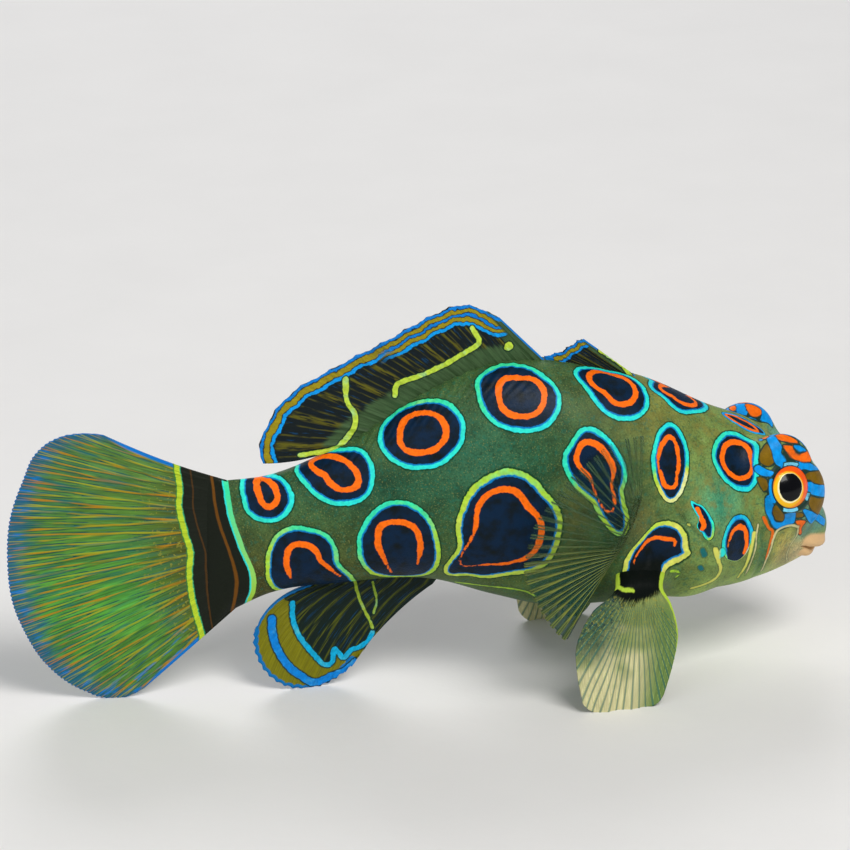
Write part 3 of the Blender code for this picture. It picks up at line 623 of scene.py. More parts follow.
FACE_PATCHES = (
    ("ink", arc(-62, 100, 1.6, 2.30)),
    ("ink", arc(100, 200, 1.6, 2.15)),
    ("ink", arc(200, 298, 1.6, 2.15)),
    ("blue", (-1.35, 2.95, -0.5, 2.98, 0.5, 2.8, 1.3, 2.3, 1.95, 2.35, 2.2, 2.6, 1.83, 2.85, 1.1, 3.4,
              0.5, 3.62, -0.05, 3.68, -0.85, 3.5, -1.35, 3.2)),
    ("orange", (-0.2, 3.12, 0.3, 3.05, 0.92, 3.0, 0.88, 3.31, 0.3, 3.57, -0.03, 3.46)),
    ("orange", (-1.13, 2.98, -0.84, 3.06, -0.82, 3.3, -1.07, 3.33, -1.2, 3.12)),
    ("orange", (-0.47, 2.98, -0.07, 2.97, 0.32, 2.76, 0.78, 2.42, 0.45, 2.44, 0.13, 2.50, -0.31, 2.63,
                -0.52, 2.77)),
    ("orange", (-0.39, 2.47, 0.24, 2.38, 0.71, 2.27, 1.42, 2.06, 1.8, 1.86, 2.02, 1.62, 1.69, 1.51,
                1.2, 1.72, 0.68, 2.0, 0.2, 2.17, -0.2, 2.28)),
    ("blue", (0.29, 2.36, 0.7, 2.33, 1.33, 2.08, 0.8, 2.14)),
    ("blue", (0.35, 1.98, 0.9, 1.87, 1.27, 1.69, 2.13, 1.33, 2.6, 1.15, 3.2, 1.0, 3.2, 0.78, 2.5, 0.9,
              2.06, 1.02, 1.27, 1.36, 0.7, 1.62)),
    ("olive", (1.7, 0.92, 2.34, 0.84, 3.25, 0.66, 3.3, 0.2, 3.2, -0.28, 2.47, -0.07, 1.86, 0.38)),
    ("blue", (1.9, 0.18, 2.57, -0.19, 3.3, -0.38, 3.3, -0.97, 2.65, -1.0, 1.86, -0.74, 1.78, -0.2)),
    ("olive", (1.76, -1.03, 2.6, -1.14, 3.3, -1.15, 3.6, -1.6, 3.3, -2.1, 2.52, -2.14, 1.97, -1.86)),
    ("blue", (1.35, -2.1, 1.99, -2.09, 2.79, -2.24, 3.79, -2.25, 3.7, -2.5, 2.9, -2.72, 2.23, -2.8,
              1.8, -2.58)),
    ("olive", (0.61, -2.38, 1.42, -2.40, 1.46, -2.62, 0.87, -2.78)),
    ("blue", (-2.34, -0.49, -1.95, -0.5, -1.8, -0.7, -1.66, -1.34, -1.35, -1.75, -0.7, -2.0, 0.09, -2.09,
              0.6, -2.4, 0.85, -3.0, 0.5, -3.36, -0.32, -3.46, -1.0, -3.25, -1.51, -2.9, -2.0, -2.35,
              -2.27, -1.86, -2.4, -1.1)),
    ("olive", (-1.57, -1.25, -1.19, -1.67, -0.75, -2.2, -0.36, -2.83, -0.36, -3.14, -1.04, -2.98,
               -1.38, -2.6, -1.63, -2.21, -1.7, -1.6)),
    ("orange", (0.95, -3.01, 1.77, -2.78, 1.62, -3.23, 1.96, -3.52, 1.75, -3.6, 1.53, -3.54, 1.3, -3.25)),
    ("blue", arc(154, 212, 1.80, 2.06)),
    ("olive", (-2.62, 1.1, -2.2, 0.98, -2.1, 0.6, -2.13, 0.21, -2.39, -0.18, -2.68, 0.42)),
    ("blue", (-2.55, 1.55, -2.26, 1.84, -1.93, 1.64, -1.5, 1.4, -1.6, 1.2, -1.76, 1.11, -2.29, 1.23)),
    ("olive", (-1.18, 2.71, -1.14, 2.42, -1.22, 2.12, -1.21, 1.96, -1.73, 1.8, -2.02, 1.98, -1.85, 2.3,
               -1.6, 2.5)),
    ("blue", (-1.0, 2.95, -0.6, 2.95, -0.55, 2.66, -0.47, 2.44, -0.6, 2.24, -0.2, 2.12, 0.0, 1.95,
              -0.2, 1.74, -0.8, 1.74, -1.15, 2.0, -1.1, 2.36, -1.1, 2.7)),
    ("pale", arc(62, 104, 1.72, 1.98)),
    ("pale", arc(243, 285, 1.72, 2.05)),
    ("pale", arc(-42, -22, 1.72, 1.95)),
)
FACE_REACH = 7.0
FACE_END = 11.5
INK = 0.075
BLUE_SPREAD = 0.02

# Thin lines on the head and belly: half width at the start and end, colour, then s and z of points
SKIN_LINES = (
    (0.20, 0.10, YELLOW, (13.0, 11.6, 12.7, 10.7, 12.3, 9.6, 12.6, 8.7, 13.6, 8.3, 14.5, 8.1)),
    (0.18, 0.07, YELLOW, (9.4, 12.0, 9.7, 10.4, 9.9, 9.3, 10.15, 8.5, 10.25, 8.0)),
    (0.07, 0.05, CREAM, (9.0, 12.6, 9.2, 11.7, 9.25, 10.7, 9.55, 9.3, 9.7, 8.2)),
    (0.15, 0.06, (0.70, 0.13, 0.006), (8.45, 13.0, 8.05, 12.15, 7.68, 11.76, 7.8, 11.1, 8.0, 10.4,
                                       8.1, 9.4)),
    (0.11, 0.06, CREAM, (5.31, 11.58, 5.8, 11.82, 6.32, 11.89, 7.22, 11.70, 7.60, 11.07, 7.78, 10.25,
                         8.09, 9.24, 8.16, 8.1)),
    (0.08, 0.05, CREAM, (5.31, 11.58, 5.17, 10.57, 5.58, 9.73, 5.73, 8.80, 5.35, 7.91)),
    (0.06, 0.08, LIME, (32.2, 8.9, 29.5, 8.75, 28.0, 8.6, 26.7, 8.2, 25.6, 7.2)),
    (0.22, 0.16, CYAN, (12.4, 11.4, 12.2, 11.1, 12.3, 10.9)),
    (0.25, 0.15, (0.01, 0.14, 0.16), (14.2, 10.25, 14.0, 10.0)),
    (0.15, 0.20, (0.01, 0.14, 0.14), (14.1, 11.8, 13.9, 11.3)),
    (0.10, 0.10, YELLOW, (15.2, 14.0, 15.1, 13.9)),
    (0.12, 0.09, LIME, (16.5, 10.15, 16.05, 10.1, 15.72, 9.8, 16.0, 9.4)),
)

LINE_REACH = 1.5

# The black band at the foot of the tail fin: its two edge lines, from top to bottom, as z and s
BAND_HEIGHTS = (5.0, 7.6, 8.8, 10.5, 12.2, 13.4, 14.7, 16.0, 17.2, 19.0)
BAND_REAR = (51.4, 52.0, 52.2, 52.3, 52.2, 52.5, 52.8, 53.0, 52.9, 53.1)
BAND_FRONT = (48.9, 48.4, 48.1, 48.1, 48.7, 49.1, 49.5, 49.75, 49.9, 50.1)
BAND_THREADS = ((0.24, 0.034, 0.75), (0.76, 0.020, 0.30))
BAND_BLACK = (0.007, 0.010, 0.005)
BAND_BROWN = (0.20, 0.070, 0.003)


def band_fields(s, z):
    """Signed distances from the black band's edge lines, and the share of the way across it."""
    rear = smooth_curve(z, BAND_HEIGHTS, BAND_REAR)
    front = smooth_curve(z, BAND_HEIGHTS, BAND_FRONT)
    return front - s, s - rear, (s - front) / (rear - front)


def tangents(normal):
    """The directions across a normal that point towards the head and up."""
    ahead = unit(AHEAD - normal * (AHEAD @ normal))
    up = np.cross(normal, ahead)
    return ahead, up if up[2] > 0.0 else -up


def eye_axes(side):
    """The gaze of the eye on a side, 1 left or -1 right, and the directions ahead and up round it."""
    gaze = unit(EYE_GAZE * np.array([1.0, side, 1.0]))
    return (gaze, *tangents(gaze))


def eye_chart(p):
    """Places round the eyeball: its radius times the angle from the gaze, ahead and up, and the distance."""
    gaze, ahead, up = eye_axes(1)
    q = on_left(p) - EYE_CENTRE
    away = np.linalg.norm(q, axis=-1)
    angle = np.arccos(np.clip(q @ gaze / np.maximum(away, 1e-9), -1.0, 1.0))
    flat = np.stack([q @ ahead, q @ up], -1)
    flat = flat / np.maximum(np.linalg.norm(flat, axis=-1, keepdims=True), 1e-9)
    return flat * (EYE_RADIUS * angle)[..., None], away


FACE_TONES = {"blue": (0.0, 0.29, 0.78), "olive": OLIVE_PATCH, "orange": (0.92, 0.15, 0.003),
              "pale": (0.18, 0.62, 0.85)}


def face_fields(p):
    """Distances from the face's patches of each colour, and from any of them as ink.

    A patch painted over others first takes its own place and a thin line round it out of theirs.
    """
    flat, away = eye_chart(p)
    flat, away = flat.reshape(-1, 2), away.reshape(-1)
    near = np.flatnonzero((away < FACE_REACH) & (p[..., 0].reshape(-1) < FACE_END))
    scale = away[near] / EYE_RADIUS
    fields = {word: np.full(len(near), FAR) for word in FACE_TONES}
    ink = np.full(len(near), FAR)
    for colour, places in FACE_PATCHES:
        line = smooth_line(np.reshape(places, (-1, 2)), closed=True, steps=5)
        d = outline_distance(flat[near], line) * scale
        for word in fields:
            fields[word] = np.maximum(fields[word], INK - d)
        if colour in fields:
            fields[colour] = np.minimum(fields[colour], d - (BLUE_SPREAD if colour == "blue" else 0.0))
        ink = np.minimum(ink, d)
    fields["ink"] = ink
    result = {}
    for word, values in fields.items():
        whole = np.full(len(away), FAR)
        whole[near] = values
        result[word] = whole.reshape(p.shape[:-1])
    return result


def line_fields(p):
    """Distances from the thin lines, measured in s and z, and the nearest line's colour."""
    q = p[..., (0, 2)].reshape(-1, 2)
    best = np.full(len(q), FAR)
    colour = np.tile(np.array(YELLOW), (len(q), 1))
    for first, last, tone, places in SKIN_LINES:
        points = np.reshape(places, (-1, 2))
        line = smooth_line(points)
        low, high = points.min(axis=0) - LINE_REACH, points.max(axis=0) + LINE_REACH
        near = np.flatnonzero(((q > low) & (q < high)).all(axis=1))
        half = first + (last - first) * share(np.linalg.norm(q[near] - points[0], axis=1),
                                              0.0, np.linalg.norm(points[-1] - points[0]) + 1e-6)
        d = line_distance(q[near], line) - half
        nearer = d < best[near]
        colour[near] = np.where(nearer[:, None], np.array(tone), colour[near])
        best[near] = np.where(nearer, d, best[near])
    shape = p.shape[:-1]
    return best.reshape(shape), colour.reshape(shape + (3,))


def soft_spot(p, centre, sizes):
    """A soft weight that is 1 at a centre and fades over the sizes in s and z, on both flanks alike."""
    d = (p[..., 0] - centre[0]) / sizes[0], (p[..., 2] - centre[1]) / sizes[1]
    return np.exp(-d[0] ** 2 - d[1] ** 2)[..., None]


def lip_share(p):
    """1 on the lips, fading to 0 round them and towards their corners."""
    s, y, z = p[..., 0], p[..., 1], p[..., 2]
    lips = np.minimum(lip_distance(s, y, z, UPPER_LIP), lip_distance(s, y, z, LOWER_LIP))
    return share(-lips, -0.32, -0.12) * share(5.6 - s, 0.0, 1.0)


CREASE = np.array([[16.1, 15.3], [15.6, 14.5], [15.0, 13.8], [14.4, 13.1], [13.55, 12.15], [12.8, 11.5]])


def ground_colour(p):
    """The skin's own colour under its markings: olive, blended by soft weights into its other tones, with
    painted shade darkening the groove behind the jaw and the crease.
    """
    s, z = p[..., 0], p[..., 2]
    colour = np.full(p.shape, 1.0) * np.array((0.052, 0.105, 0.032))

    def lay(weight, tone):
        """Blend a tone over what lies there by its weight."""
        return colour * (1.0 - weight) + np.array(tone) * weight

    colour = lay(share(s, 32.0, 44.0)[..., None] * share(15.0 - z, 0.0, 4.0)[..., None],
                 (0.062, 0.066, 0.014))
    colour = lay(0.9 * soft_spot(p, (25.5, 17.5), (8.0, 5.0)), (0.010, 0.076, 0.033))
    colour = lay(0.8 * soft_spot(p, (38.0, 17.5), (8.0, 2.2)), (0.014, 0.084, 0.044))
    colour = lay(0.8 * soft_spot(p, (31.0, 20.5), (4.0, 3.0)), (0.032, 0.130, 0.070))
    colour = lay(0.7 * soft_spot(p, (29.0, 10.0), (8.0, 2.0)), (0.075, 0.125, 0.024))
    colour = lay(0.95 * share(19.5 - s, 0.0, 6.0)[..., None], (0.170, 0.262, 0.066))
    colour = lay(0.7 * soft_spot(p, (16.5, 22.5), (4.5, 3.0)), (0.200, 0.205, 0.045))
    colour = lay(0.75 * soft_spot(p, (24.0, 15.5), (1.8, 3.5)), (0.120, 0.120, 0.026))
    colour = lay(0.9 * soft_spot(p, (12.4, 15.0), (2.0, 2.0)), (0.045, 0.290, 0.165))
    colour = lay(0.9 * (1.0 - share(z, 7.0, 9.5))[..., None] * share(19.0 - s, 0.0, 5.0)[..., None],
                 (0.300, 0.440, 0.085))
    # Painted shade: a narrow dark green strip down the groove behind the jaw, where skin_relief carves its
    # pleat
    colour = lay(0.85 * soft_spot(p, (8.5, 10.0), (0.65, 2.6)), (0.030, 0.120, 0.055))
    colour = lay(0.9 * soft_spot(p, (6.5, 9.8), (1.1, 2.2)), (0.430, 0.350, 0.085))
    colour = lay(0.92 * soft_spot(p, (4.7, 8.6), (1.35, 1.7)), (0.640, 0.510, 0.260))
    colour = lay(0.9 * share(5.6 - s, 0.0, 1.2)[..., None] * share(z, 9.6, 10.5)[..., None],
                 (0.110, 0.300, 0.230))
    colour = lay(lip_share(p)[..., None], (0.700, 0.455, 0.225))
    colour = lay(0.8 * soft_spot(p, (19.3, 14.8), (1.6, 2.0)), (0.120, 0.130, 0.040))
    # Painted shade: darker skin in a narrow strip along the crease that skin_relief carves
    crease = flat_distance(s, z, smooth_line(CREASE))
    colour = lay(0.6 * np.exp(-(crease / 0.16) ** 2)[..., None], (0.030, 0.070, 0.025))
    return colour


def skin_relief(p):
    """Small rises of the skin: folds that run back from the second back fin's root, and a cheek fold."""
    s, z = p[..., 0], p[..., 2]
    top, _, _ = body_sizes(s)
    near_fin = np.exp(-((top - z) / 1.6) ** 2) * share(s, 25.5, 27.0) * share(42.0 - s, 0.0, 2.0)
    folds = 0.05 * near_fin * np.sin((s + 1.6 * (z - top)) * 2.0 * math.pi / 0.9)
    fan = np.arctan2(z - 14.4, s - 17.6)
    reach = np.hypot(s - 17.6, z - 14.4)
    breast = 0.05 * np.exp(-((reach - 2.6) / 1.5) ** 2) * np.sin(fan * 26.0) * share(s, 17.0, 18.5)
    pleat = -0.12 * np.exp(-((s - 8.45 - 0.12 * np.abs(z - 10.5)) / 0.22) ** 2)
    pleat = pleat * share(z, 7.0, 8.5) * share(13.0 - z, 0.0, 1.5)
    crease = flat_distance(s, z, smooth_line(CREASE))
    return folds + breast + pleat - 0.10 * np.exp(-(crease / 0.15) ** 2)


# Meshes

def quads(rows, columns, closed=False):
    """Corner numbers of the squares between neighbouring rows, closed into rings or open."""
    i = np.arange(rows - 1)[:, None] * columns
    j = np.arange(columns if closed else columns - 1)[None, :]
    k = (j + 1) % columns
    return np.stack(np.broadcast_arrays(i + j, i + k, i + columns + k, i + columns + j), -1).reshape(-1, 4)


def ball_faces(rows, columns):
    """Squares between closed rings, and triangles to the first pole's place and to the last one's.

    The two poles' places follow those of the rings.
    """
    j = np.arange(columns)
    k = (j + 1) % columns
    end = (rows - 1) * columns
    first = np.stack([0 * j + rows * columns, k, j], -1)
    last = np.stack([0 * j + rows * columns + 1, end + j, end + k], -1)
    return quads(rows, columns, closed=True).tolist() + first.tolist() + last.tolist()


def make_piece(name, places, faces, finish, values=None, colours=None, uv=None):
    """A piece in its place, from places on the straight fish, faces and the values its finish reads."""
    mesh = bpy.data.meshes.new(name)
    mesh.from_pydata((world(places) * MM).tolist(), [], faces)
    mesh.update()
    points = np.empty(len(places) * 3)
    mesh.vertices.foreach_get("co", points)
    mesh.calc_loop_triangles()
    corner = np.empty(len(mesh.loop_triangles) * 3, int)
    mesh.loop_triangles.foreach_get("vertices", corner)
    t = points.reshape(-1, 3)[corner.reshape(-1, 3)]
    if np.einsum("ij,ij->i", t[:, 0], np.cross(t[:, 1], t[:, 2])).sum() < 0.0:
        mesh.flip_normals()
    mesh.shade_smooth()
    for word, data in (values or {}).items():
        layer = mesh.attributes.new(word, "FLOAT", "POINT")
        layer.data.foreach_set("value", np.asarray(data, np.float32).ravel())
    for word, data in (colours or {}).items():
        layer = mesh.attributes.new(word, "FLOAT_COLOR", "POINT")
        full = np.concatenate([data.reshape(-1, 3), np.ones((len(places), 1))], axis=1)
        layer.data.foreach_set("color", full.astype(np.float32).ravel())
    if uv is not None:
        layer = mesh.uv_layers.new(name="lay")
        corners = np.empty(len(mesh.loops), int)
        mesh.loops.foreach_get("vertex_index", corners)
        layer.data.foreach_set("uv", uv.reshape(-1, 2)[corners].astype(np.float32).ravel())
    piece = bpy.data.objects.new(name, mesh)
    piece.data.materials.append(finish)
    bpy.context.scene.collection.objects.link(piece)
    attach(piece, "root")
    return piece


class Finish:
    """A material's nodes, with short calls for the kinds that the finishes share."""

    def __init__(self, name, roughness=0.4, coat=0.0, coat_roughness=0.1, specular=0.5):
        self.material = bpy.data.materials.new(name)
        self.material.use_nodes = True
        self.nodes = self.material.node_tree.nodes
        self.links = self.material.node_tree.links
        self.shader = self.nodes["Principled BSDF"]
        self.shader.inputs["Roughness"].default_value = roughness
        self.shader.inputs["Coat Weight"].default_value = coat
        self.shader.inputs["Coat Roughness"].default_value = coat_roughness
        self.shader.inputs["Specular IOR Level"].default_value = specular
        self.places = self.nodes.new("ShaderNodeTexCoord").outputs["Object"]

    def put(self, value, socket):
        """Set a socket to a number or colour, or link it."""
        if isinstance(value, bpy.types.NodeSocket):
            self.links.new(value, socket)
        elif isinstance(value, tuple) and len(value) == 3 and socket.type == "RGBA":
            socket.default_value = (*value, 1.0)
        else:
            socket.default_value = value

    def value(self, name):
        """A number that the mesh carries."""
        node = self.nodes.new("ShaderNodeAttribute")
        node.attribute_name = name
        return node.outputs["Fac"]

    def colour(self, name):
        """A colour that the mesh carries."""
        node = self.nodes.new("ShaderNodeAttribute")
        node.attribute_name = name
        return node.outputs["Color"]

    def noise(self, size, detail=2.0, stretch=None, on_uv=False):
        """Soft noise with features of the given size in millimetres, or stretched by three numbers."""
        node = self.nodes.new("ShaderNodeTexNoise")
        node.inputs["Detail"].default_value = detail
        node.inputs["Scale"].default_value = 1.0
        mapping = self.nodes.new("ShaderNodeMapping")
        scale = stretch if stretch else (PER_MM / size,) * 3
        mapping.inputs["Scale"].default_value = scale
        source = self.places
        if on_uv:
            layer = self.nodes.new("ShaderNodeUVMap")
            layer.uv_map = "lay"
            source = layer.outputs["UV"]
        self.links.new(source, mapping.inputs["Vector"])
        self.links.new(mapping.outputs["Vector"], node.inputs["Vector"])
        return node.outputs["Fac"]

    def math(self, kind, a, b=0.0, c=0.0):
        """One sum on numbers."""
        node = self.nodes.new("ShaderNodeMath")
        node.operation = kind
        for value, socket in zip((a, b, c), node.inputs):
            self.put(value, socket)
        return node.outputs[0]

    def scaled(self, value, factor, offset):
        """A number times a factor, moved by an offset."""
        return self.math("MULTIPLY_ADD", value, factor, offset)

    def both(self, first, second):
        """The product of two numbers: a share of a share."""
        return self.math("MULTIPLY", first, second)

    def step(self, value, low, high):
        """0 below low and 1 above high, or the other way round, smooth between."""
        node = self.nodes.new("ShaderNodeMapRange")
        node.interpolation_type = "SMOOTHSTEP"
        turned = low > high
        for word, given in (("From Min", min(low, high)), ("From Max", max(low, high)),
                            ("To Min", 1.0 if turned else 0.0), ("To Max", 0.0 if turned else 1.0)):
            node.inputs[word].default_value = given
        self.put(value, node.inputs["Value"])
        return node.outputs["Result"]

    def ramp(self, value, stops):
        """A colour read off a row of colours at their places from 0 to 1."""
        node = self.nodes.new("ShaderNodeValToRGB")
        row = node.color_ramp.elements
        for element, (place, tone) in zip((row[0], row[-1]), (stops[0], stops[-1])):
            element.position = place
            element.color = (*tone, 1.0)
        for place, tone in stops[1:-1]:
            row.new(place).color = (*tone, 1.0)
        self.put(value, node.inputs[0])
        return node.outputs["Color"]

    def mix(self, part, first, second):
        """The first colour, with the second laid over it by a share."""
        node = self.nodes.new("ShaderNodeMix")
        node.data_type = "RGBA"
        self.put(part, node.inputs[0])
        self.put(first, node.inputs[6])
        self.put(second, node.inputs[7])
        return node.outputs[2]

    def times(self, colour, number):
        """A colour made lighter or darker by a number."""
        node = self.nodes.new("ShaderNodeMix")
        node.data_type = "RGBA"
        node.blend_type = "MULTIPLY"
        node.inputs[0].default_value = 1.0
        grey = self.nodes.new("ShaderNodeCombineColor")
        for socket in grey.inputs[:3]:
            self.put(number, socket)
        self.put(colour, node.inputs[6])
        self.put(grey.outputs[0], node.inputs[7])
        return node.outputs[2]

    def bump(self, height, depth, strength=1.0):
        """Small relief: the height's unit stands for a depth in millimetres."""
        node = self.nodes.new("ShaderNodeBump")
        node.inputs["Distance"].default_value = depth * MM
        node.inputs["Strength"].default_value = strength
        self.put(height, node.inputs["Height"])
        self.links.new(node.outputs["Normal"], self.shader.inputs["Normal"])

    def vary_roughness(self, grain, spread, least):
        """Let the roughness follow a grain: its spread above the least."""
        self.put(self.scaled(grain, spread, least), self.shader.inputs["Roughness"])

    def done(self, colour):
        """Lay the colour on the shader."""
        self.put(colour, self.shader.inputs["Base Color"])
        return self.material


def draw_threads(f, tone):
    """Lay the brown threads along the black band, by the share of the way across it."""
    across = f.scaled(f.noise(1.6, 2.0), 0.04, f.math("SUBTRACT", f.value("across_band"), 0.02))
    for place, half, strength in BAND_THREADS:
        off = f.math("ABSOLUTE", f.math("SUBTRACT", across, place))
        thread = f.step(off, half * 1.4, half * 0.5)
        tone = f.mix(f.both(thread, strength), tone, BAND_BROWN)
    return tone


def mottled_ground(f, grain, patchy):
    """The skin's own tones, broken by grain, mottling and gold, teal and dark flecks, but for the lips."""
    fleck = f.noise(0.11, 1.0)
    plain = f.math("SUBTRACT", 1.0, f.value("lip"))
    speckle = f.both(f.math("SUBTRACT", grain, 0.5), f.scaled(plain, 1.15, 0.15))
    ground = f.times(f.colour("ground"), f.math("ADD", speckle, 1.0))
    mottle = f.both(f.math("SUBTRACT", patchy, 0.5), plain)
    ground = f.times(ground, f.scaled(mottle, 1.5, 1.0))
    golden = f.both(f.step(f.noise(0.9, 3.0), 0.48, 0.66), f.both(plain, f.value("gold")))
    ground = f.mix(golden, ground, (0.220, 0.190, 0.040))
    teal = f.both(f.step(f.noise(0.34, 3.0), 0.54, 0.68), f.both(plain, 0.36))
    ground = f.mix(teal, ground, (0.006, 0.15, 0.10))
    gold = f.both(f.step(fleck, 0.62, 0.70), f.both(plain, 0.40))
    ground = f.mix(gold, ground, (0.27, 0.27, 0.07))
    dark = f.both(f.step(f.noise(0.22, 1.0), 0.40, 0.28), f.both(plain, 0.30))
    return f.mix(dark, ground, (0.010, 0.030, 0.010))


def draw_spots(f, ground, rough):
    """Lay the spots: a dark line, a glowing ring with a blue inner edge, a night-blue heart, a flame loop."""
    ring = f.math("ADD", f.value("ring"), rough)
    loop = f.math("ADD", f.value("loop"), rough)
    ground = f.mix(f.step(ring, 0.17, 0.04), ground, (0.002, 0.040, 0.014))
    hue = f.scaled(f.value("hue"), 0.2, -0.13)
    hue = f.scaled(f.noise(0.8, 2.0), 0.26, hue)
    glow = f.times(f.ramp(hue, HUES), f.scaled(f.noise(0.35, 2.0), 0.7, 0.68))
    glow = f.mix(f.step(ring, -0.28, -0.36), glow, (0.0, 0.19, 0.52))
    skin = f.mix(f.step(ring, 0.03, -0.03), ground, glow)
    heart = f.mix(f.step(f.noise(0.9, 3.0), 0.35, 0.75), NAVY, BLACK)
    heart = f.mix(f.value("night"), heart, (0.001, 0.003, 0.002))
    skin = f.mix(f.step(ring, -0.40, -0.47), skin, heart)
    flame = f.times(ORANGE, f.scaled(f.noise(0.3, 2.0), 0.6, 0.66))
    inside = f.both(f.step(loop, 0.03, -0.03), f.step(ring, -0.42, -0.50))
    return f.mix(inside, skin, flame)


def draw_face(f, skin, rough):
    """Lay the patches round the eye on their ink."""
    skin = f.mix(f.both(f.step(f.value("ink"), 0.12, 0.05), 0.96), skin, (0.004, 0.030, 0.026))
    for word, tone in FACE_TONES.items():
        field = f.scaled(rough, 0.35, f.value(word))
        mottled = f.times(tone, f.scaled(f.noise(0.5, 2.0), 0.9, 0.55))
        skin = f.mix(f.step(field, 0.03, -0.05), skin, mottled)
    return skin


def skin_finish():
    """Moist scaleless skin: mottled olive ground, spots, face patches, thin lines and the tail's band."""
    f = Finish("spotted_skin", coat=0.03, coat_roughness=0.25, specular=0.11)
    rough = f.scaled(f.noise(0.28, 2.0), 0.16, -0.08)
    rough = f.scaled(f.noise(1.2, 1.0), 0.22, f.math("ADD", rough, -0.11))
    grain = f.noise(0.16, 3.0)
    patchy = f.noise(1.6, 3.0)
    skin = draw_spots(f, mottled_ground(f, grain, patchy), rough)
    skin = draw_face(f, skin, rough)
    line = f.scaled(rough, 0.6, f.value("line"))
    skin = f.mix(f.both(f.step(line, 0.14, 0.04), 0.5), skin, (0.010, 0.050, 0.020))
    skin = f.mix(f.step(line, 0.05, -0.05), skin, f.colour("line_colour"))
    band = f.scaled(rough, 0.6, f.value("band"))
    skin = f.mix(f.step(band, 0.52, 0.46), skin, f.colour("band_colour"))
    skin = f.mix(f.step(band, 0.16, 0.08), skin, CYAN)
    skin = f.mix(f.step(band, 0.04, -0.03), skin, draw_threads(f, BAND_BLACK))
    f.vary_roughness(grain, 0.35, 0.28)
    f.bump(f.math("ADD", f.both(grain, 0.6), f.both(patchy, 0.8)), 0.05)
    return f.done(skin)


def end_rings(last):
    """Rings that carry the skin on from its last one over the tail fin's foot.

    Each is the last ring, narrowed by a share that grows to the end, and stretched between lines that
    run from the body's top and bottom to the edges of the tail fin's fan.
    """
    top, bottom, _ = body_sizes(np.float64(TAIL_END))
    height = (last[:, 2] - bottom) / (top - bottom)
    end_bottom, end_top = [TAIL_FAN[1] + (SKIN_END - TAIL_FAN[0]) * math.tan(turn) for turn in TAIL_SPREAD]
    end_top -= SKIN_END_SAG
    part = (np.arange(TAPER_RINGS) + 1.0)[:, None] / TAPER_RINGS
    low, high = bottom + (end_bottom - bottom) * part, top + (end_top - top) * part
    s = TAIL_END + (SKIN_END - TAIL_END) * part + 0.0 * height
    y = last[:, 1] * (1.0 - TAPER[0] * part ** TAPER[1])
    return np.stack([s, y, low + (high - low) * height], -1)


def make_skin():
    """The skin from the mouth to the tail fin, closed at the mouth and over the tail fin's foot."""
    rings = skin_rings()
    rings = rings + skin_normal(rings) * skin_relief(rings)[..., None]
    rings = np.concatenate([rings, end_rings(rings[-1])])
    rows, columns = rings.shape[:2]
    first = to_skin(HEAD_CENTRE, unit(MOUTH_FRONT - HEAD_CENTRE))
    places = np.concatenate([rings.reshape(-1, 3), first[None], rings[-1].mean(axis=0)[None]])
    ring, loop, hue = spot_fields(places)
    line, line_colour = line_fields(places)
    ahead, _, across_band = band_fields(places[:, 0], places[:, 2])
    height = share(places[:, 2], 8.0, 17.0)[:, None]
    band_colour = height * np.array(AQUA) + (1.0 - height) * np.array(LIME)
    skin = make_piece(
        "skin", places, ball_faces(rows, columns), skin_finish(),
        values={"ring": ring, "loop": loop, "hue": hue, "line": line, "band": ahead,
                "across_band": across_band, "lip": lip_share(places),
                "night": np.minimum(1.6 * soft_spot(places, *NIGHT_PATCH), 1.0),
                "gold": 0.55 * share(22.0 - places[:, 0], 0.0, 8.0) * share(places[:, 2], 9.0, 12.0),
                **face_fields(places)},
        colours={"ground": ground_colour(places), "line_colour": line_colour, "band_colour": band_colour})
    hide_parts("head", "trunk", "tail")
    return skin


# Eyes: the pupil's half sizes and middle in the eye's chart, and the iris's outer edge
PUPIL = (1.04, 1.18)
PUPIL_AT = (-0.31, 0.02)
IRIS_EDGE = 1.83
EYE_RINGS = 90
EYE_COLUMNS = 120


def eye_finish():
    """Wet eye: black pupil, a pale ring that turns yellow, red-orange iris and a dark blue rim."""
    f = Finish("wet_eye", roughness=0.22, coat=0.18, coat_roughness=0.04, specular=0.12)
    iris = f.scaled(f.noise(0.35, 3.0), 0.10, f.value("iris"))
    low = f.value("low")
    flame = f.mix(f.step(low, -0.6, 0.9), (0.95, 0.10, 0.002), (1.0, 0.26, 0.004))
    gold = f.scaled(low, 0.10, 1.24)
    tone = f.mix(f.step(f.math("SUBTRACT", iris, gold), 0.14, -0.06), flame, (0.98, 0.52, 0.010))
    pale = f.scaled(low, 0.035, 1.09)
    tone = f.mix(f.step(f.math("SUBTRACT", iris, pale), 0.03, -0.03), tone, (0.95, 0.86, 0.46))
    tone = f.mix(f.step(iris, 1.04, 1.00), tone, (0.001, 0.001, 0.002))
    tone = f.mix(f.step(f.value("rim"), -0.09, 0.0), tone, (0.003, 0.018, 0.03))
    return f.done(tone)


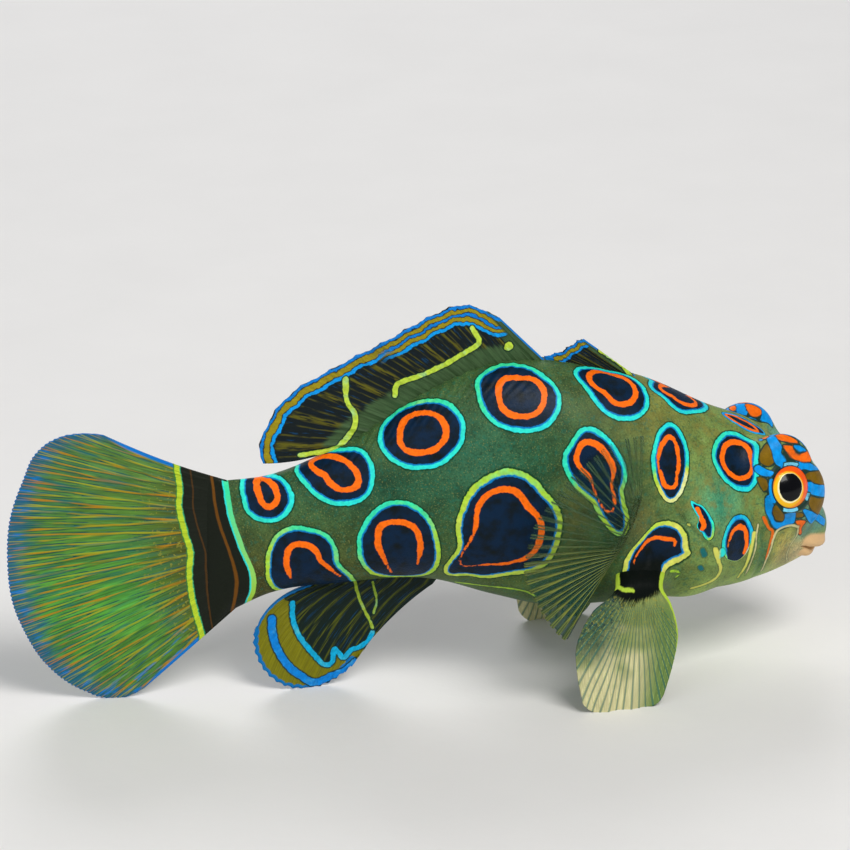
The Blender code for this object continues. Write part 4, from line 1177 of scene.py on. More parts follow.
def make_eye(name, side, finish):
    """An eyeball: rings of places at growing angles from the gaze, closed at both poles."""
    rows, columns = EYE_RINGS, EYE_COLUMNS
    gaze, ahead, up = eye_axes(side)
    tilt = (np.linspace(0.0, 1.0, rows + 2)[1:-1] ** 1.3 * math.pi)[:, None]
    turn = np.arange(columns) * 2.0 * math.pi / columns
    a, b = EYE_RADIUS * tilt * np.cos(turn), EYE_RADIUS * tilt * np.sin(turn)
    way = np.cos(tilt)[..., None] * gaze + np.sin(tilt)[..., None] * (
        np.cos(turn)[None, :, None] * ahead + np.sin(turn)[None, :, None] * up)
    centre = EYE_CENTRE * np.array([1.0, side, 1.0])
    ball = centre + EYE_RADIUS * way
    pole = EYE_RADIUS * gaze[None]
    places = np.concatenate([ball.reshape(-1, 3), centre + pole, centre - pole])
    a, b = np.append(a, (0.0, 9.0)), np.append(b, (0.0, 9.0))
    iris = np.hypot((a - PUPIL_AT[0]) / PUPIL[0], (b - PUPIL_AT[1]) / PUPIL[1])
    rim = np.hypot(a, b) - IRIS_EDGE
    eye = make_piece(name, places, ball_faces(rows, columns), finish,
                     values={"iris": iris, "rim": rim, "low": -a - b})
    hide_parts(name)
    return eye


# Fins, with the sizes of the solid frame. A fin's grid has rows along its rays, and columns across
# them, counted for each ray
TAIL_FAN = (41.2, 14.15)
TAIL_SPREAD = (math.radians(-41.7), math.radians(24.0))
TAIL_ROOT = 7.6
TAIL_MARGIN = np.array([
    [-41.7, 20.3], [-40.9, 21.4], [-39.1, 22.5], [-33.9, 24.0], [-25.4, 25.2], [-18.0, 25.55],
    [-12.5, 25.7], [-5.0, 25.5], [3.3, 25.1], [10.1, 24.4], [16.2, 23.8], [19.2, 23.0],
    [21.8, 21.7], [23.3, 20.4], [24.0, 19.5],
])
TAIL_RAYS = 14
TAIL_GRID = (118, 30)
DORSAL_ROOT = (24.7, 41.0)
DORSAL_LENGTH = (5.3, 6.0, 5.95, 6.0, 6.45, 7.3, 6.7)
DORSAL_SLOPE = (46.0, 52.5, 46.0, 37.5, 30.0, 20.0, -4.0)
DORSAL_RAYS = 11
BACK_GRID = (90, 26)
SPINY_ROOT = (17.3, 24.3)
SPINY_LENGTH = (5.6, 4.2, 2.9, 1.9, 0.7)
SPINY_SLOPE = (39.0, 36.0, 30.0, 24.0, 20.0)
SPINY_RAYS = 4
ANAL_ROOT = (32.8, 42.6)
ANAL_LOBE = (43.4, 4.15)
ANAL_LOBE_RADIUS = 4.25
ANAL_SWEEP = (math.radians(-147.0), math.radians(12.0))
ANAL_RAYS = 8
ANAL_GRID = (90, 26)
PECTORAL_TOP = (19.1, 16.4)
PECTORAL_BOTTOM = (21.7, 10.9)
PECTORAL_SLOPE = (88.0, 66.0, 44.0, 22.0, 0.0, -25.0, -56.0)
PECTORAL_LENGTH = (6.1, 7.2, 7.5, 8.0, 7.9, 6.7, 6.1)
PECTORAL_RAYS = 30
PECTORAL_GRID = (60, 10)
PECTORAL_SPLAY = 0.22
PELVIC = np.array([
    [18.3, 2.20, 6.4, 10.4, 0.80],
    [18.9, 1.95, 7.2, 10.0, 0.80],
    [19.5, 1.95, 8.2, 9.3, 0.72],
    [20.1, 3.10, 8.8, 8.1, 0.50],
    [20.45, 3.92, 9.0, 5.4, 0.42],
    [20.65, 3.72, 9.15, 2.6, 0.38],
    [20.8, 3.15, 9.3, -0.2, 0.26],
])
PELVIC_RAYS = 27
PELVIC_GRID = (140, 10)
PELVIC_BUNDLES = 26
PELVIC_FAN = (19.6, 10.6)
PELVIC_FAN_TURNS = ((-36.0, 0.0), (25.0, 0.72), (64.0, 1.0))
PELVIC_CORNER = np.array([[21.0, 10.8], [21.2, 10.0], [20.8, 9.4], [20.0, 9.25]])
PELVIC_ROOT_SHARE = 0.25
PELVIC_ARM_SHARE = 0.45
SUNK = 0.5

# Drawn lines on the fins: half width, colour, then s and z of points
FIN_LIME = (0.46, 0.62, 0.05)
DORSAL_LINES = (
    (0.20, FIN_LIME, (30.4, 29.0, 29.9, 27.8, 31.0, 27.1, 32.5, 26.3, 34.5, 25.5, 36.2, 25.0, 36.5, 24.0)),
    (0.20, FIN_LIME, (40.3, 25.6, 40.2, 23.8, 39.6, 22.6, 39.8, 21.4, 41.2, 20.0, 43.9, 19.6)),
    (0.34, FIN_LIME, (27.6, 27.3, 27.5, 27.3)),
)
SPINY_LINES = ((0.15, FIN_LIME, (17.7, 24.0, 18.7, 25.2, 20.2, 26.3)),)
ANAL_CYAN = (44.6, 7.3, 44.6, 6.1, 44.2, 4.7, 43.8, 4.0, 43.1, 3.0, 42.2, 1.9, 41.5, 2.0, 41.4, 3.1,
             41.0, 2.8, 40.6, 2.3, 40.0, 2.9, 39.2, 3.2, 38.6, 3.7, 38.3, 4.3)
ANAL_DARK_ROOT = (36.6, 4.4, 33.6, 7.4, 31.4, 10.5, 46.0, 10.5, 45.2, 7.6)
ANAL_LINES = (
    (0.20, (0.0, 0.36, 0.62), ANAL_CYAN),
    (0.30, (0.0, 0.20, 0.62), (46.2, 6.1, 46.2, 5.1, 46.0, 4.0, 45.5, 2.8, 44.8, 1.8, 44.0, 1.1, 43.3, 0.5,
                               42.5, 0.4, 41.6, 0.8, 40.6, 1.1, 39.6, 1.9)),
    (0.11, (0.30, 0.42, 0.03), (39.7, 9.0, 39.6, 8.3, 39.4, 7.5, 39.0, 6.4, 38.5, 5.3, 38.3, 4.7)),
    (0.09, (0.24, 0.36, 0.03), (38.3, 8.6, 38.0, 7.3, 38.0, 6.7, 38.2, 6.0)),
)


def ray_height(across, along, rays, forks=()):
    """How far a place stands on a ray, 0 to 1.

    The distance from the nearest ray's middle is folded once at each fork, so that the ray parts
    in two there, and its half width shrinks with each fork.
    """
    place = across * rays
    off = np.abs(place - np.floor(place) - 0.5)
    half = 0.20 + 0.0 * along
    for start, spread in forks:
        open_share = share(along, start, start + 0.22)
        off = np.abs(off - spread * open_share)
        half = half * (1.0 - 0.42 * open_share)
    return np.clip(1.0 - off / half, 0.0, 1.0) ** 0.7


def scallop(across, rays):
    """How far the membrane's edge falls back between rays: 0 at a ray's tip and 1 midway."""
    return np.abs(np.cos(math.pi * across * rays)) ** 1.5


def fan_grid(grid, rays):
    """Shares along the rays (rows) and across them (columns), for a grid's rows and columns a ray."""
    rows, columns = grid[0], grid[1] * rays + 1
    return np.meshgrid(np.linspace(0.0, 1.0, rows), np.linspace(0.0, 1.0, columns), indexing="ij")


def sheet_side(middle):
    """The side direction of a curved sheet: the cross product of its two grid directions."""
    return unit(np.cross(np.gradient(middle, axis=0), np.gradient(middle, axis=1)))


def make_fin(name, middle, side, thick, finish, along, across, values=None, colours=None):
    """A closed sheet: the middle surface moved half its thickness to each side, joined by a rim."""
    rows, columns = thick.shape
    front = middle + side * thick[..., None] / 2.0
    back = middle - side * thick[..., None] / 2.0
    places = np.concatenate([front.reshape(-1, 3), back.reshape(-1, 3)])
    places[:, 2] = np.maximum(places[:, 2], 0.0)
    under = rows * columns
    face = quads(rows, columns)
    rim = np.concatenate([np.arange(columns), np.arange(1, rows) * columns + columns - 1,
                          (rows - 1) * columns + np.arange(columns - 2, -1, -1),
                          np.arange(rows - 2, 0, -1) * columns])
    after = np.roll(rim, -1)
    edge = np.stack([after, rim, under + rim, under + after], -1)
    faces = np.concatenate([face, under + face[:, ::-1], edge]).tolist()
    twice = {word: np.concatenate([data.ravel()] * 2) for word, data in (values or {}).items()}
    tones = {word: np.concatenate([data.reshape(-1, 3)] * 2) for word, data in (colours or {}).items()}
    uv = np.concatenate([np.stack([across, along], -1).reshape(-1, 2)] * 2)
    fin = make_piece(name, places, faces, finish, values=twice, colours=tones, uv=uv)
    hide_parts(name)
    return fin


def upright(s, z, sway):
    """Places of a fin that stands in the body's middle plane and sways a little from it."""
    middle = np.stack([s, sway, z], -1)
    return middle, sheet_side(middle) * np.sign(sheet_side(middle)[..., 1:2].mean() + 1e-9)


def marks(s, z, lines):
    """Distance from the nearest of several drawn lines less its half width, in s and z, and its colour."""
    q = np.stack([s, z], -1).reshape(-1, 2)
    best = np.full(len(q), FAR)
    tone = np.ones((len(q), 3))
    for half, colour, places in lines:
        d = line_distance(q, smooth_line(np.reshape(places, (-1, 2)))) - half
        tone = np.where((d < best)[:, None], np.array(colour), tone)
        best = np.minimum(best, d)
    return best.reshape(s.shape), tone.reshape(s.shape + (3,))


def margin_distance(s, z):
    """Distance of each place of a fan from the line through its rays' tips."""
    return flat_distance(s, z, np.stack([s[-1], z[-1]], -1))


def draw_marks(f, tone, wobble):
    """Lay a fin's drawn lines over its colour, each with a thin dark edge and paler stretches."""
    mark = f.scaled(wobble, 0.5, f.value("mark"))
    tone = f.mix(f.step(mark, 0.15, 0.04), tone, (0.002, 0.022, 0.016))
    shade = f.times(f.colour("mark_colour"), f.scaled(f.noise(0.3, 2.0), 0.8, 0.65))
    shade = f.mix(f.both(f.step(f.noise(0.9, 2.0), 0.50, 0.75), 0.35), shade, (0.20, 0.75, 0.60))
    return f.mix(f.step(mark, 0.03, -0.03), tone, shade)


def tail_finish():
    """Green membrane with yellow and orange branched rays, teal between them and blue edges."""
    f = Finish("tail_fin_membrane", coat=0.05, coat_roughness=0.25, specular=0.14)
    ray = f.value("ray")
    along = f.value("along")
    streak = f.noise(1.0, 3.0, stretch=(40.0, 2.6, 1.0), on_uv=True)
    fine = f.noise(1.0, 3.0, stretch=(150.0, 8.0, 1.0), on_uv=True)
    broad = f.noise(1.0, 2.0, stretch=(12.0, 1.6, 4.0), on_uv=True)
    tone = f.times(f.colour("ground"), f.scaled(fine, 1.5, 0.30))
    tone = f.times(tone, f.scaled(streak, 1.6, 0.2))
    tone = f.mix(f.both(f.step(broad, 0.50, 0.68), 0.45), tone, (0.020, 0.170, 0.085))
    furrow = f.both(f.step(ray, 0.02, 0.12), f.step(ray, 0.50, 0.25))
    tone = f.mix(f.both(furrow, f.step(fine, 0.64, 0.44)), tone, (0.002, 0.060, 0.075))
    edge = f.scaled(fine, 2.4, f.math("SUBTRACT", f.value("edge"), 1.2))
    edge = f.math("SUBTRACT", edge, f.both(f.step(streak, 0.50, 0.68), 1.1))
    tone = f.mix(f.both(f.step(edge, 2.2, 0.1), 0.86), tone, (0.012, 0.105, 0.210))
    gold = f.mix(f.step(streak, 0.42, 0.60), (0.48, 0.19, 0.004), (0.34, 0.33, 0.012))
    broken = f.step(f.noise(1.0, 2.0, stretch=(80.0, 5.0, 1.0), on_uv=True), 0.38, 0.56)
    lit = f.both(f.step(ray, 0.45, 0.85), broken)
    tone = f.mix(f.both(lit, 0.84), tone, gold)
    teal = f.step(f.noise(1.0, 2.0, stretch=(60.0, 4.0, 2.0), on_uv=True), 0.54, 0.68)
    tone = f.mix(f.both(teal, f.scaled(along, 0.40, 0.20)), tone, (0.003, 0.13, 0.15))
    dash = f.step(f.noise(1.0, 2.0, stretch=(70.0, 6.0, 7.0), on_uv=True), 0.56, 0.66)
    low = f.math("MAXIMUM", f.step(f.value("across"), 0.13, 0.02), f.step(f.value("edge"), 1.7, 0.6))
    tone = f.mix(f.both(f.both(dash, low), 0.85), tone, (0.0, 0.17, 0.52))
    spot = f.both(f.step(f.noise(0.25, 1.0), 0.60, 0.68), f.step(along, 0.55, 0.25))
    tone = f.mix(f.both(spot, 0.6), tone, (0.34, 0.30, 0.03))
    tone = f.mix(f.step(f.value("rim"), 0.34, 0.16), tone, (0.0, 0.17, 0.58))
    wobble = f.scaled(f.noise(0.28, 2.0), 0.2, -0.1)
    band = f.math("ADD", f.value("band"), wobble)
    tone = f.mix(f.step(band, 0.62, 0.54), tone, (0.03, 0.20, 0.04))
    tone = f.mix(f.step(band, 0.53, 0.45), tone, f.times((0.46, 0.62, 0.025), f.scaled(fine, 0.7, 0.65)))
    tone = f.mix(f.step(band, 0.12, 0.05), tone, (0.02, 0.35, 0.16))
    tone = f.mix(f.step(band, 0.04, -0.03), tone, draw_threads(f, BAND_BLACK))
    f.vary_roughness(fine, 0.3, 0.34)
    f.bump(fine, 0.05)
    return f.done(tone)


def make_tail_fin():
    """The tail fin: straight rays from a low point inside the body fan out to a round margin.

    Each place lies at its ray's angle, between the root and the margin by its share along the ray, and
    the whole sheet waves gently sideways. The rays fork three times and stand out of the membrane.
    """
    along, across = fan_grid(TAIL_GRID, TAIL_RAYS)
    angle = TAIL_SPREAD[0] + (TAIL_SPREAD[1] - TAIL_SPREAD[0]) * across
    ray = ray_height(across, along, TAIL_RAYS, ((0.26, 0.25), (0.55, 0.125), (0.80, 0.0625)))
    notch = 0.10 * scallop(across, TAIL_RAYS * 6)
    reach = smooth_curve(np.degrees(angle), *TAIL_MARGIN.T) - notch * share(along, 0.9, 1.0)
    root = TAIL_ROOT / np.cos(angle)
    out = root + (reach - root) * along
    s = TAIL_FAN[0] + out * np.cos(angle)
    z = TAIL_FAN[1] + out * np.sin(angle) - 0.3 * np.sin(math.pi * along) * share(across, 0.8, 1.0)
    sway = 0.35 * np.sin(across * 9.0 + 0.5) * along**2
    thick = 0.26 - 0.14 * along + 0.22 * ray * (1.0 - 0.7 * along) * share(along, 0.10, 0.3)
    edge = (1.0 - along) * (reach - root)
    rim = np.minimum(across, 1.0 - across) * (TAIL_SPREAD[1] - TAIL_SPREAD[0]) * out
    rim = np.minimum(rim + 0.04 * share(across, 0.5, 1.0) + 0.25 * share(along, 0.75, 1.0), edge + 0.22)
    bright = np.exp(-((across - 0.34) / 0.24) ** 2) * share(along, 0.15, 0.5)
    base = 1.0 - share(along, 0.24, 0.46)
    ground = np.array((0.078, 0.178, 0.024)) * np.ones(along.shape + (1,))
    ground = ground * (1 - bright[..., None]) + np.array((0.070, 0.275, 0.034)) * bright[..., None]
    upper = (share(across, 0.7, 1.0) * 0.7)[..., None]
    ground = ground * (1 - upper) + np.array((0.100, 0.215, 0.050)) * upper
    ground = ground * (1 - base[..., None]) + np.array((0.082, 0.098, 0.012)) * base[..., None]
    _, behind, across_band = band_fields(s, z)
    fin = make_fin("tail_fin", *upright(s, z, sway), thick, tail_finish(), along, across,
                   values={"ray": ray, "edge": edge, "rim": rim, "band": behind, "across_band": across_band,
                           "along": along, "across": across},
                   colours={"ground": ground})


def banded_finish(name, front_bands, rear_bands, interior, foot):
    """A dark rayed membrane with bands along its margin: outer edge, inner edge and colour of each."""
    f = Finish(name, coat=0.05, coat_roughness=0.25, specular=0.14)
    fine = f.noise(1.0, 3.0, stretch=(110.0, 5.0, 1.0), on_uv=True)
    wobble = f.scaled(f.noise(0.35, 2.0), 0.30, -0.15)
    wobble = f.scaled(f.noise(1.4, 1.0), 0.36, f.math("ADD", wobble, -0.18))
    edge = f.math("ADD", f.value("edge"), wobble)
    ray = f.value("ray")
    streak = f.both(f.step(ray, 0.25, 0.8), f.step(fine, 0.38, 0.58))
    tone = f.mix(f.both(streak, 0.8), interior, (0.13, 0.12, 0.006))
    glint = f.both(f.step(fine, 0.58, 0.68), f.step(ray, 0.5, 0.1))
    tone = f.mix(f.both(glint, 0.55), tone, (0.0, 0.060, 0.170))
    low = f.scaled(fine, 0.5, f.value("foot"))
    tone = f.mix(f.step(low, 0.85, 1.15), tone, f.times(foot, f.scaled(fine, 1.3, 0.35)))
    past = f.value("past")
    inner = f.scaled(f.step(past, 0.45, 0.6), rear_bands[-1][1] - front_bands[-1][1], front_bands[-1][1])
    shadow = f.step(f.math("SUBTRACT", edge, inner), 0.25, 0.0)
    tone = f.mix(f.both(f.both(shadow, f.step(past, 0.05, 0.1)), 0.85), tone, (0.001, 0.010, 0.012))
    for place, bands in ((f.step(past, 0.58, 0.48), front_bands), (f.step(past, 0.48, 0.58), rear_bands)):
        for number, (outer, deep, colour) in enumerate(bands):
            shade = f.times(colour, f.scaled(fine, 0.9, 0.55))
            inside = f.both(f.step(edge, outer - 0.04, outer + 0.03), f.step(edge, deep + 0.03, deep - 0.04))
            inside = f.both(inside, place)
            if number:
                inside = f.both(inside, f.step(past, 0.05, 0.08))
            tone = f.mix(inside, tone, shade)
    tone = f.mix(f.step(f.value("front"), 0.20, 0.10), tone, FIN_BLUE)
    tone = draw_marks(f, tone, wobble)
    f.vary_roughness(fine, 0.3, 0.34)
    f.bump(fine, 0.04)
    return f.done(tone)


FIN_BLUE = (0.0, 0.19, 0.62)
FIN_GOLD = (0.30, 0.235, 0.006)
FIN_GREEN = (0.045, 0.090, 0.034)
DORSAL_FRONT_BANDS = ((0.0, 0.22, FIN_BLUE), (0.29, 0.58, FIN_GOLD), (0.65, 0.85, FIN_BLUE),
                      (0.92, 1.18, FIN_GOLD), (1.25, 1.50, (0.0, 0.30, 0.76)))
DORSAL_REAR_BANDS = ((0.0, 0.22, FIN_BLUE), (0.29, 0.72, FIN_GOLD), (0.80, 1.06, (0.0, 0.30, 0.78)))
SPINY_BANDS = ((0.0, 0.18, FIN_BLUE), (0.24, 0.50, FIN_GOLD), (0.56, 0.76, (0.0, 0.24, 0.70)))


def make_back_fin(name, root, lengths, slopes, rays, bands, lines, foot_share, wave):
    """A fin on the back: straight rays from the back line, each with its own length and slope."""
    along, across = fan_grid(BACK_GRID, rays)
    root_s = root[0] + (root[1] - root[0]) * across
    top, _, _ = body_sizes(root_s)
    slope = np.radians(even_curve(across, slopes))
    ray = ray_height(across, along, rays)
    fine_ray = ray_height(across, along, rays * 3)
    corner = share(across, 0.92, 1.0)
    near_tip = share(along, 0.85, 1.0)
    length = even_curve(across, lengths) - 0.7 * corner**2 - 0.13 * scallop(across, rays) * near_tip
    length = length - 0.05 * scallop(across, rays * 3) * near_tip
    slope = slope - math.radians(5.0) * corner**2
    reach = -SUNK + (length + SUNK) * along
    s = root_s + reach * np.cos(slope)
    z = top + reach * np.sin(slope) - 0.35 * np.sin(math.pi * along) * share(across, 0.9, 1.0)
    sway = wave * np.sin(across * rays * 0.9) * along**1.5
    thick = 0.32 - 0.20 * along + (0.24 * ray + 0.08 * fine_ray) * (1.0 - 0.6 * along)
    foot = 1.6 * (1.0 - share(along, foot_share - 0.2, foot_share + 0.25))
    foot = np.maximum(foot, 1.6 * (1.0 - share(across, 0.07, 0.16)))
    mark, mark_colour = marks(s, z, lines)
    finish = banded_finish(name + "_membrane", *bands, (0.003, 0.008, 0.010), FIN_GREEN)
    fin = make_fin(name, *upright(s, z, sway), thick, finish, along, across,
                   values={"ray": np.maximum(ray, 0.7 * fine_ray), "edge": margin_distance(s, z),
                           "foot": foot, "mark": mark, "past": across,
                           "front": (root[1] - root[0]) * across * 0.8},
                   colours={"mark_colour": mark_colour})


def anal_finish():
    """A dark fan with olive and blue rays inside a cyan line, and olive-yellow with a blue band outside."""
    f = Finish("anal_fin_membrane", coat=0.05, coat_roughness=0.25, specular=0.14)
    fine = f.noise(1.0, 3.0, stretch=(120.0, 5.0, 1.0), on_uv=True)
    wobble = f.scaled(f.noise(0.35, 2.0), 0.36, -0.18)
    ray = f.value("ray")
    tone = f.times((0.185, 0.175, 0.003), f.scaled(fine, 1.2, 0.4))
    streak = f.both(f.step(ray, 0.3, 0.8), f.step(fine, 0.38, 0.6))
    dark = f.mix(streak, (0.003, 0.012, 0.008), (0.075, 0.090, 0.004))
    glint = f.both(f.step(fine, 0.56, 0.68), f.step(ray, 0.5, 0.1))
    dark = f.mix(f.both(glint, 0.6), dark, (0.0, 0.060, 0.170))
    tone = f.mix(f.step(f.value("inner"), 0.05, -0.05), tone, dark)
    edge = f.scaled(wobble, 0.5, f.value("edge"))
    tone = f.mix(f.step(edge, 0.32, 0.24), tone, (0.0, 0.16, 0.46))
    tone = draw_marks(f, tone, wobble)
    f.vary_roughness(fine, 0.3, 0.34)
    f.bump(fine, 0.04)
    return f.done(tone)


def make_anal_fin():
    """The fin under the tail: rays that bend from the belly line down to a round lobe on the floor.

    Each ray is a parabola from its root past a bend point to its tip on the lobe's circle.
    """
    along, across = fan_grid(ANAL_GRID, ANAL_RAYS)
    root_s = ANAL_ROOT[0] + (ANAL_ROOT[1] - ANAL_ROOT[0]) * across
    _, bottom, _ = body_sizes(root_s)
    turn = ANAL_SWEEP[0] + (ANAL_SWEEP[1] - ANAL_SWEEP[0]) * across
    ray = ray_height(across, along, ANAL_RAYS, ((0.45, 0.25),))
    notch = 0.12 * scallop(across, ANAL_RAYS * 2) * share(along, 0.85, 1.0)
    radius = ANAL_LOBE_RADIUS - notch
    tip_s = ANAL_LOBE[0] + radius * np.cos(turn)
    tip_z = ANAL_LOBE[1] + radius * np.sin(turn)
    bend_s = root_s + (0.52 + 0.23 * across) * (tip_s - root_s)
    bend_z = bottom - (0.30 - 0.15 * across) * (bottom - tip_z)
    s = root_s * (1 - along) ** 2 + 2 * bend_s * along * (1 - along) + tip_s * along**2
    z = bottom * (1 - along) ** 2 + 2 * bend_z * along * (1 - along) + tip_z * along**2
    z = z + SUNK * share(0.1 - along, 0.0, 0.1)
    sway = 0.2 * np.sin(across * 8.0) * along**1.5
    thick = 0.34 - 0.18 * along + 0.26 * ray * (1.0 - 0.6 * along)
    places = np.stack([s, z], -1)
    rear_ray = flat_distance(s, z, places[:, -1]) + 0.14
    edge = np.minimum(margin_distance(s, z) - 0.2 * share(43.0 - s, 0.0, 2.0), rear_ray)
    mark, mark_colour = marks(s, z, ANAL_LINES)
    cyan_line = smooth_line(np.reshape(ANAL_CYAN, (-1, 2)))
    region = np.concatenate([cyan_line, np.reshape(ANAL_DARK_ROOT, (-1, 2))])
    inner = outline_distance(places.reshape(-1, 2), region).reshape(s.shape)
    fin = make_fin("anal_fin", *upright(s, z, sway), thick, anal_finish(), along, across,
                   values={"ray": ray, "edge": edge, "inner": inner, "mark": mark},
                   colours={"mark_colour": mark_colour})


def clear_finish():
    """Clear membrane between fine rays: dark green above, olive with teal edges and a darker film below."""
    f = Finish("clear_fin_membrane", coat=0.06, coat_roughness=0.2, specular=0.16)
    fine = f.noise(1.0, 3.0, stretch=(160.0, 8.0, 1.0), on_uv=True)
    ray = f.value("ray")
    low = f.step(f.value("low"), 0.50, 0.72)
    bundle = f.noise(1.0, 2.0, stretch=(13.0, 0.8, 1.0), on_uv=True)
    crest = f.mix(low, (0.050, 0.095, 0.034), (0.190, 0.205, 0.030))
    crest = f.times(crest, f.scaled(fine, 1.4, 0.3))
    side = f.mix(low, (0.012, 0.070, 0.045), (0.004, 0.062, 0.048))
    tone = f.mix(f.step(ray, 0.40, 0.75), side, crest)
    root_tone = f.times((0.098, 0.128, 0.040), f.scaled(fine, 1.2, 0.4))
    tone = f.mix(f.step(f.value("root"), 0.2, 0.9), tone, root_tone)
    strong = f.scaled(f.step(bundle, 0.40, 0.62), 0.45, f.scaled(low, 0.35, 0.18))
    see = f.scaled(f.step(ray, 0.20, 0.60), strong, f.value("film"))
    f.put(see, f.shader.inputs["Alpha"])
    f.vary_roughness(fine, 0.3, 0.3)
    f.bump(fine, 0.03)
    return f.done(tone)


def make_pectoral_fin(name, side, finish):
    """The breast fin: a fan of fine rays that leaves the flank, bends back and stands off from it.

    A place is its root's place on the flank, moved along its ray by its length, and sideways by the
    skin's own width there and a stand-off that grows along the ray.
    """
    along, across = fan_grid(PECTORAL_GRID, PECTORAL_RAYS)
    root_s = PECTORAL_TOP[0] + (PECTORAL_BOTTOM[0] - PECTORAL_TOP[0]) * across[0]
    root_z = PECTORAL_TOP[1] + (PECTORAL_BOTTOM[1] - PECTORAL_TOP[1]) * across[0]
    skin = flank_place(root_s, root_z)[:, 1]
    ray = ray_height(across, along, PECTORAL_RAYS, ((0.66, 0.14),))
    slope = np.radians(even_curve(across, PECTORAL_SLOPE))
    tip = even_curve(across, PECTORAL_LENGTH) - 0.25 * (1.0 - ray) * share(along, 0.85, 1.0)
    length = tip * np.maximum(along - 0.08, 0.0) / 0.92
    stand = -0.25 + 1.0 * np.minimum(along / 0.14, 1.0) + PECTORAL_SPLAY * length
    s = root_s + length * np.cos(slope)
    z = root_z + length * np.sin(slope)
    ripple = 0.16 * np.sin(across * 34.0) * share(along, 0.2, 0.8)
    middle = np.stack([s, (skin + stand + ripple) * side, z], -1)
    root = np.clip(1.0 - along / 0.30, 0.0, 1.0) ** 2
    thick = 0.10 + 0.20 * ray * (1.0 - 0.6 * along) * share(along, 0.05, 0.25) + 0.40 * root
    base = np.clip(1.0 - along / 0.24, 0.0, 1.0)
    film = 0.06 + base**2 + 0.50 * share(across, 0.62, 0.82) * (1.0 - 0.3 * along)
    fin = make_fin(name, middle, sheet_side(middle), thick, finish, along, across,
                   values={"ray": ray, "root": base, "film": film, "low": across})


def pelvic_finish():
    """A black fleshy arm edged with yellow-green, which opens to an olive and cream fan with teal rays."""
    f = Finish("pelvic_fin_membrane", coat=0.01, coat_roughness=0.3, specular=0.06)
    fine = f.noise(1.0, 3.0, stretch=(90.0, 8.0, 1.0), on_uv=True)
    patchy = f.noise(2.4, 2.0)
    ray = f.value("ray")
    along = f.value("along")
    rear = f.value("rear")
    pale = f.step(f.scaled(patchy, 0.9, along), 0.98, 1.35)
    pale = f.both(pale, f.step(rear, 0.10, 0.45))
    tone = f.mix(pale, (0.215, 0.275, 0.090), (0.640, 0.600, 0.330))
    green = f.both(f.step(rear, 0.34, 0.06), f.step(along, 0.40, 0.55))
    tone = f.mix(f.both(green, 0.55), tone, (0.085, 0.200, 0.045))
    tone = f.times(tone, f.scaled(fine, 1.0, 0.5))
    dusk = f.both(f.step(rear, 0.50, 0.85), f.step(along, 0.82, 0.66))
    tone = f.mix(f.both(dusk, 0.80), tone, (0.030, 0.075, 0.045))
    tone = f.mix(f.both(f.step(ray, 0.25, 0.70), f.scaled(fine, 0.6, 0.35)), tone, (0.035, 0.150, 0.125))
    lit = f.both(f.step(ray, 0.02, 0.15), f.step(ray, 0.35, 0.2))
    tone = f.mix(f.both(lit, f.step(fine, 0.45, 0.60)), tone, (0.380, 0.430, 0.120))
    upper = f.both(f.step(along, 0.80, 0.50), f.step(rear, 0.40, 0.80))
    dots = f.both(f.step(f.noise(0.22, 1.0), 0.56, 0.64), upper)
    tone = f.mix(f.both(dots, 0.7), tone, (0.006, 0.035, 0.060))
    gold = f.both(f.step(f.noise(0.20, 1.0), 0.60, 0.66), f.step(along, 0.75, 0.50))
    tone = f.mix(f.both(gold, 0.6), tone, (0.340, 0.310, 0.050))
    low = f.scaled(fine, 0.5, f.value("low"))
    tone = f.mix(f.step(low, 0.15, -0.15), tone, (0.0, 0.14, 0.28))
    wobble = f.scaled(fine, 1.4, f.scaled(f.noise(0.5, 3.0), 0.7, -1.05))
    arm = f.math("ADD", f.value("arm"), wobble)
    tone = f.mix(f.step(arm, 0.30, -0.25), tone, (0.002, 0.004, 0.003))
    border = f.scaled(f.noise(0.4, 2.0), 0.12, f.math("ADD", f.value("border"), -0.06))
    tone = f.mix(f.step(border, 0.05, -0.04), tone, f.times((0.42, 0.60, 0.05), f.scaled(fine, 0.6, 0.7)))
    f.vary_roughness(fine, 0.3, 0.34)
    f.bump(fine, 0.05)
    return f.done(tone)


